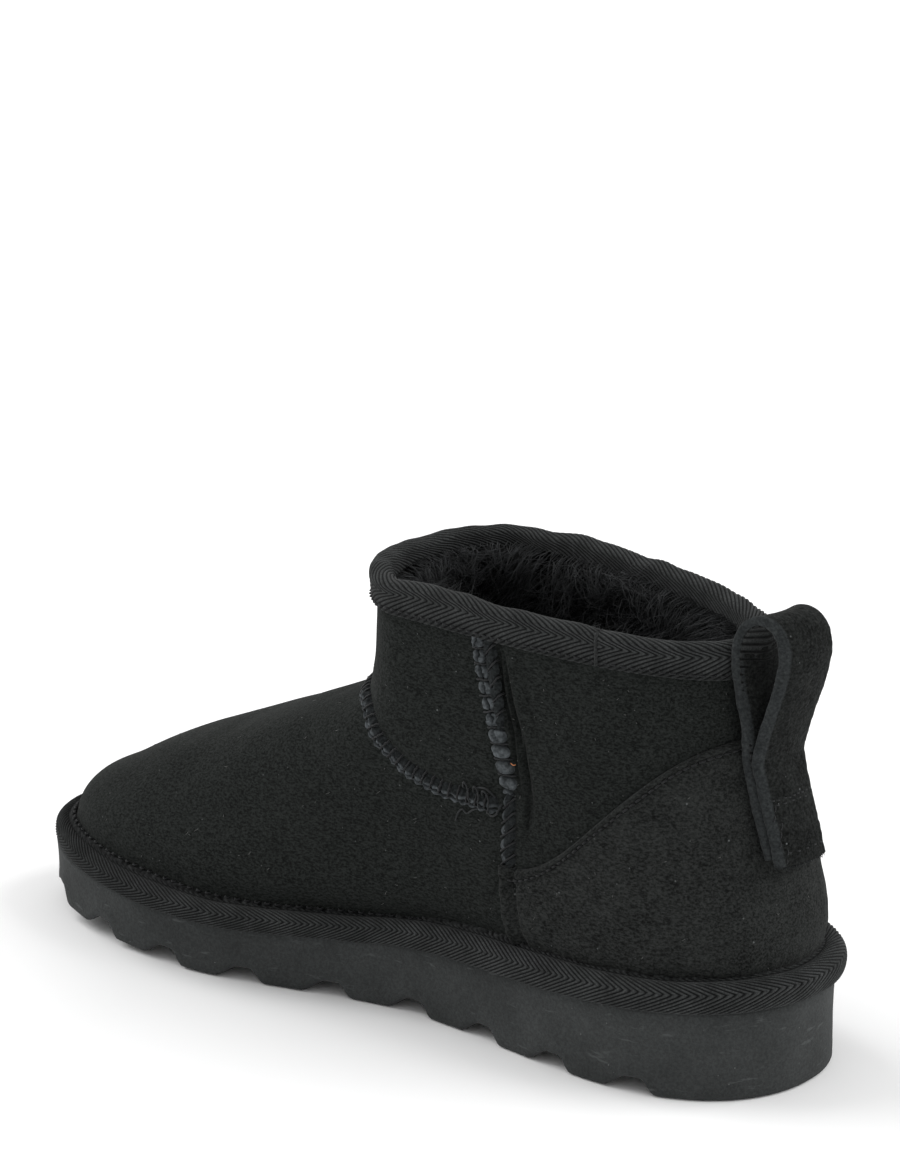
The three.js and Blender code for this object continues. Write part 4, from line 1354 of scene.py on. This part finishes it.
def make_collar_fur():
    chance = np.random.default_rng(81)
    count = 9400
    around = chance.uniform(0, 1, count)
    row = chance.uniform(5.9, 8.6, count)
    roots = on_skin(around, row, -5.6)
    outward = sample(skin_normals, around, row)
    flow = [0.5 * np.sin(around * 19), 0.5 * np.cos(around * 13), 0.35 * np.sin(around * 31)]
    flow = np.stack(flow, 1)
    ahead = -outward * 0.75 + flow
    ahead[:, 2] -= 0.1 + 0.5 * np.maximum(row - 7.7, 0)
    points, faces = strands(
        roots, ahead, -outward, length=12.5, curl=0.05, radius=0.13, seed=82, clumps=230, gather=0.5
    )
    piece("collar_fur", points, faces, FUR)


FOOTBED_TOP = 6.0  # height of the footbed over the outsole


def make_footbed():
    half = 160
    around = 2 * half
    across = 17
    loops = []
    for inset, height in ((8.2, 1.0), (9.0, 4.0), (10.5, 5.4), (13, FOOTBED_TOP)):
        place, outward = foot_line(np.arange(around) / around)
        moved = place - outward * inset
        moved[:, 2] = sole_top(moved[:, 0]) + height
        loops.append(moved)
    left = loops[-1][1:half]
    right = loops[-1][:half:-1]
    share = np.linspace(0, 1, across)
    top = mix(left[:, None], right[:, None], share[None, :, None])
    crown = 0.5 * np.sin(math.pi * share)
    top[..., 2] = sole_top(top[..., 0]) + FOOTBED_TOP + crown + 0.35 * lumps(top, 9, 91)
    points = [np.concatenate(loops), top.reshape(-1, 3)]
    faces = list(grid_faces(len(loops), around, wrap_columns=True))
    start = len(loops) * around
    faces += list(grid_faces(half - 1, across, start=start))
    faces.append(list(range(around))[::-1])
    base = start - around
    for i in range(half - 2):
        here = start + i * across
        faces.append([base + 1 + i, base + 2 + i, here + across, here])
        a = base + around - 1 - i
        faces.append([a - 1, a, here + across - 1, here + 2 * across - 1])
    for tip, row in ((0, 0), (half, half - 2)):
        first = start + row * across
        fan = [base + tip, base + 1 + row, *range(first, first + across), base + around - 1 - row]
        faces.append(fan)
    # the footbed's dark base, painted with the shade between its strands
    bed = piece("fur_footbed", np.vstack(points), faces, FUR_GAP_SHADE)
    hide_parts("insole")
    make_footbed_fur(left, right)


def make_footbed_fur(left, right):
    """Strands standing on the footbed, rooted between its left and right edges."""
    chance = np.random.default_rng(92)
    count = 2600
    i = chance.integers(0, len(left), count)
    t = chance.uniform(0, 1, count)[:, None]
    roots = mix(left[i], right[i], t)
    roots[:, 2] = sole_top(roots[:, 0]) + FOOTBED_TOP - 0.4
    ahead = np.tile((0.25, 0.0, 0.8), (count, 1)) + chance.normal(0, 0.3, (count, 3))
    up = np.tile((0.0, 0.0, 1.0), (count, 1))
    points, faces = strands(
        roots, ahead, up, length=8.0, curl=0.06, radius=0.22, seed=93, clumps=260, gather=0.55
    )
    piece("footbed_fur", points, faces, FUR)


# ---- Stage, light and camera ----
AIM = (135.0, 0.0, 60.0)  # boot millimetres
AZIMUTH, ELEVATION, DISTANCE = 38.83, 19.63, 1300.0
LENS = 135.7
SHIFT = (0.0143, 0.1626)


def make_floor():
    mesh = bpy.data.meshes.new("floor")
    reach = 9.0
    corners = [(-reach, -reach, 0), (reach, -reach, 0), (reach, reach, 0), (-reach, reach, 0)]
    mesh.from_pydata(corners, [], [(0, 1, 2, 3)])
    look = Look("floor", 0.9, 0.0)
    tone = look.ramp(look.noise(400, 2), (0.3, 0.93), (0.7, 0.95))
    mesh.materials.append(look.done(tone))
    new_object("floor", mesh)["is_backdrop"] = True


def make_light(name, towards, strength, softness):
    """A broad soft light, even over the whole floor. towards points from the boot to the light."""
    data = bpy.data.lights.new(name, "SUN")
    data.energy = strength
    data.angle = math.radians(softness)
    light = new_object(name, data)
    light.location = towards
    light.rotation_euler = Vector(towards).to_track_quat("Z", "Y").to_euler()


def make_studio():
    """Light from all round: bright along the horizon, behind the floor, and softer overhead."""
    world = bpy.data.worlds.new("studio")
    bpy.context.scene.world = world
    world.use_nodes = True
    nodes = world.node_tree.nodes
    links = world.node_tree.links
    background = nodes["Background"]
    heading = nodes.new("ShaderNodeTexCoord")
    split = nodes.new("ShaderNodeSeparateXYZ")
    ramp = nodes.new("ShaderNodeValToRGB")
    for element, height, level in zip(ramp.color_ramp.elements, (0.1, 0.22), (1.0, 0.65)):
        element.position = height
        element.color = (level, level, level, 1)
    links.new(heading.outputs["Generated"], split.inputs[0])
    links.new(split.outputs["Z"], ramp.inputs["Fac"])
    links.new(ramp.outputs["Color"], background.inputs["Color"])
    background.inputs["Strength"].default_value = 1.0
    make_light("toe_side", (0.85, 0.15, 0.75), 1.85, 50)
    make_light("heel_side", (-0.75, -0.6, 0.7), 1.8, 50)


def make_camera():
    turn, tilt = math.radians(AZIMUTH), math.radians(ELEVATION)
    back = Vector((-math.sin(turn) * math.cos(tilt), math.cos(turn) * math.cos(tilt), math.sin(tilt)))
    data = bpy.data.cameras.new("camera")
    data.lens = LENS
    data.shift_x, data.shift_y = SHIFT
    data.clip_start = 0.05
    camera = new_object("camera", data)
    camera.location = Vector(to_row(AIM)) + back * DISTANCE * MM
    camera.rotation_euler = (-back).to_track_quat("-Z", "Y").to_euler()
    bpy.context.scene.camera = camera


make_upper()
make_outsole()
make_welt()
make_binding()
make_edge_stitches()
counter_around, counter_edge_rows = make_counter()
make_counter_stitches(counter_around, counter_edge_rows)
make_seams()
make_loose_threads()
make_tab()
make_tab_lining()
make_tab_details()
make_lint()
make_collar_fur()
make_footbed()
make_floor()
make_studio()
make_camera()
bpy.context.scene.view_settings.view_transform = "Standard"


def corners(box):
    return [[float(value) for value in corner] for corner in box]


{"cad": corners(cad_box), "visual": corners(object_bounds())}
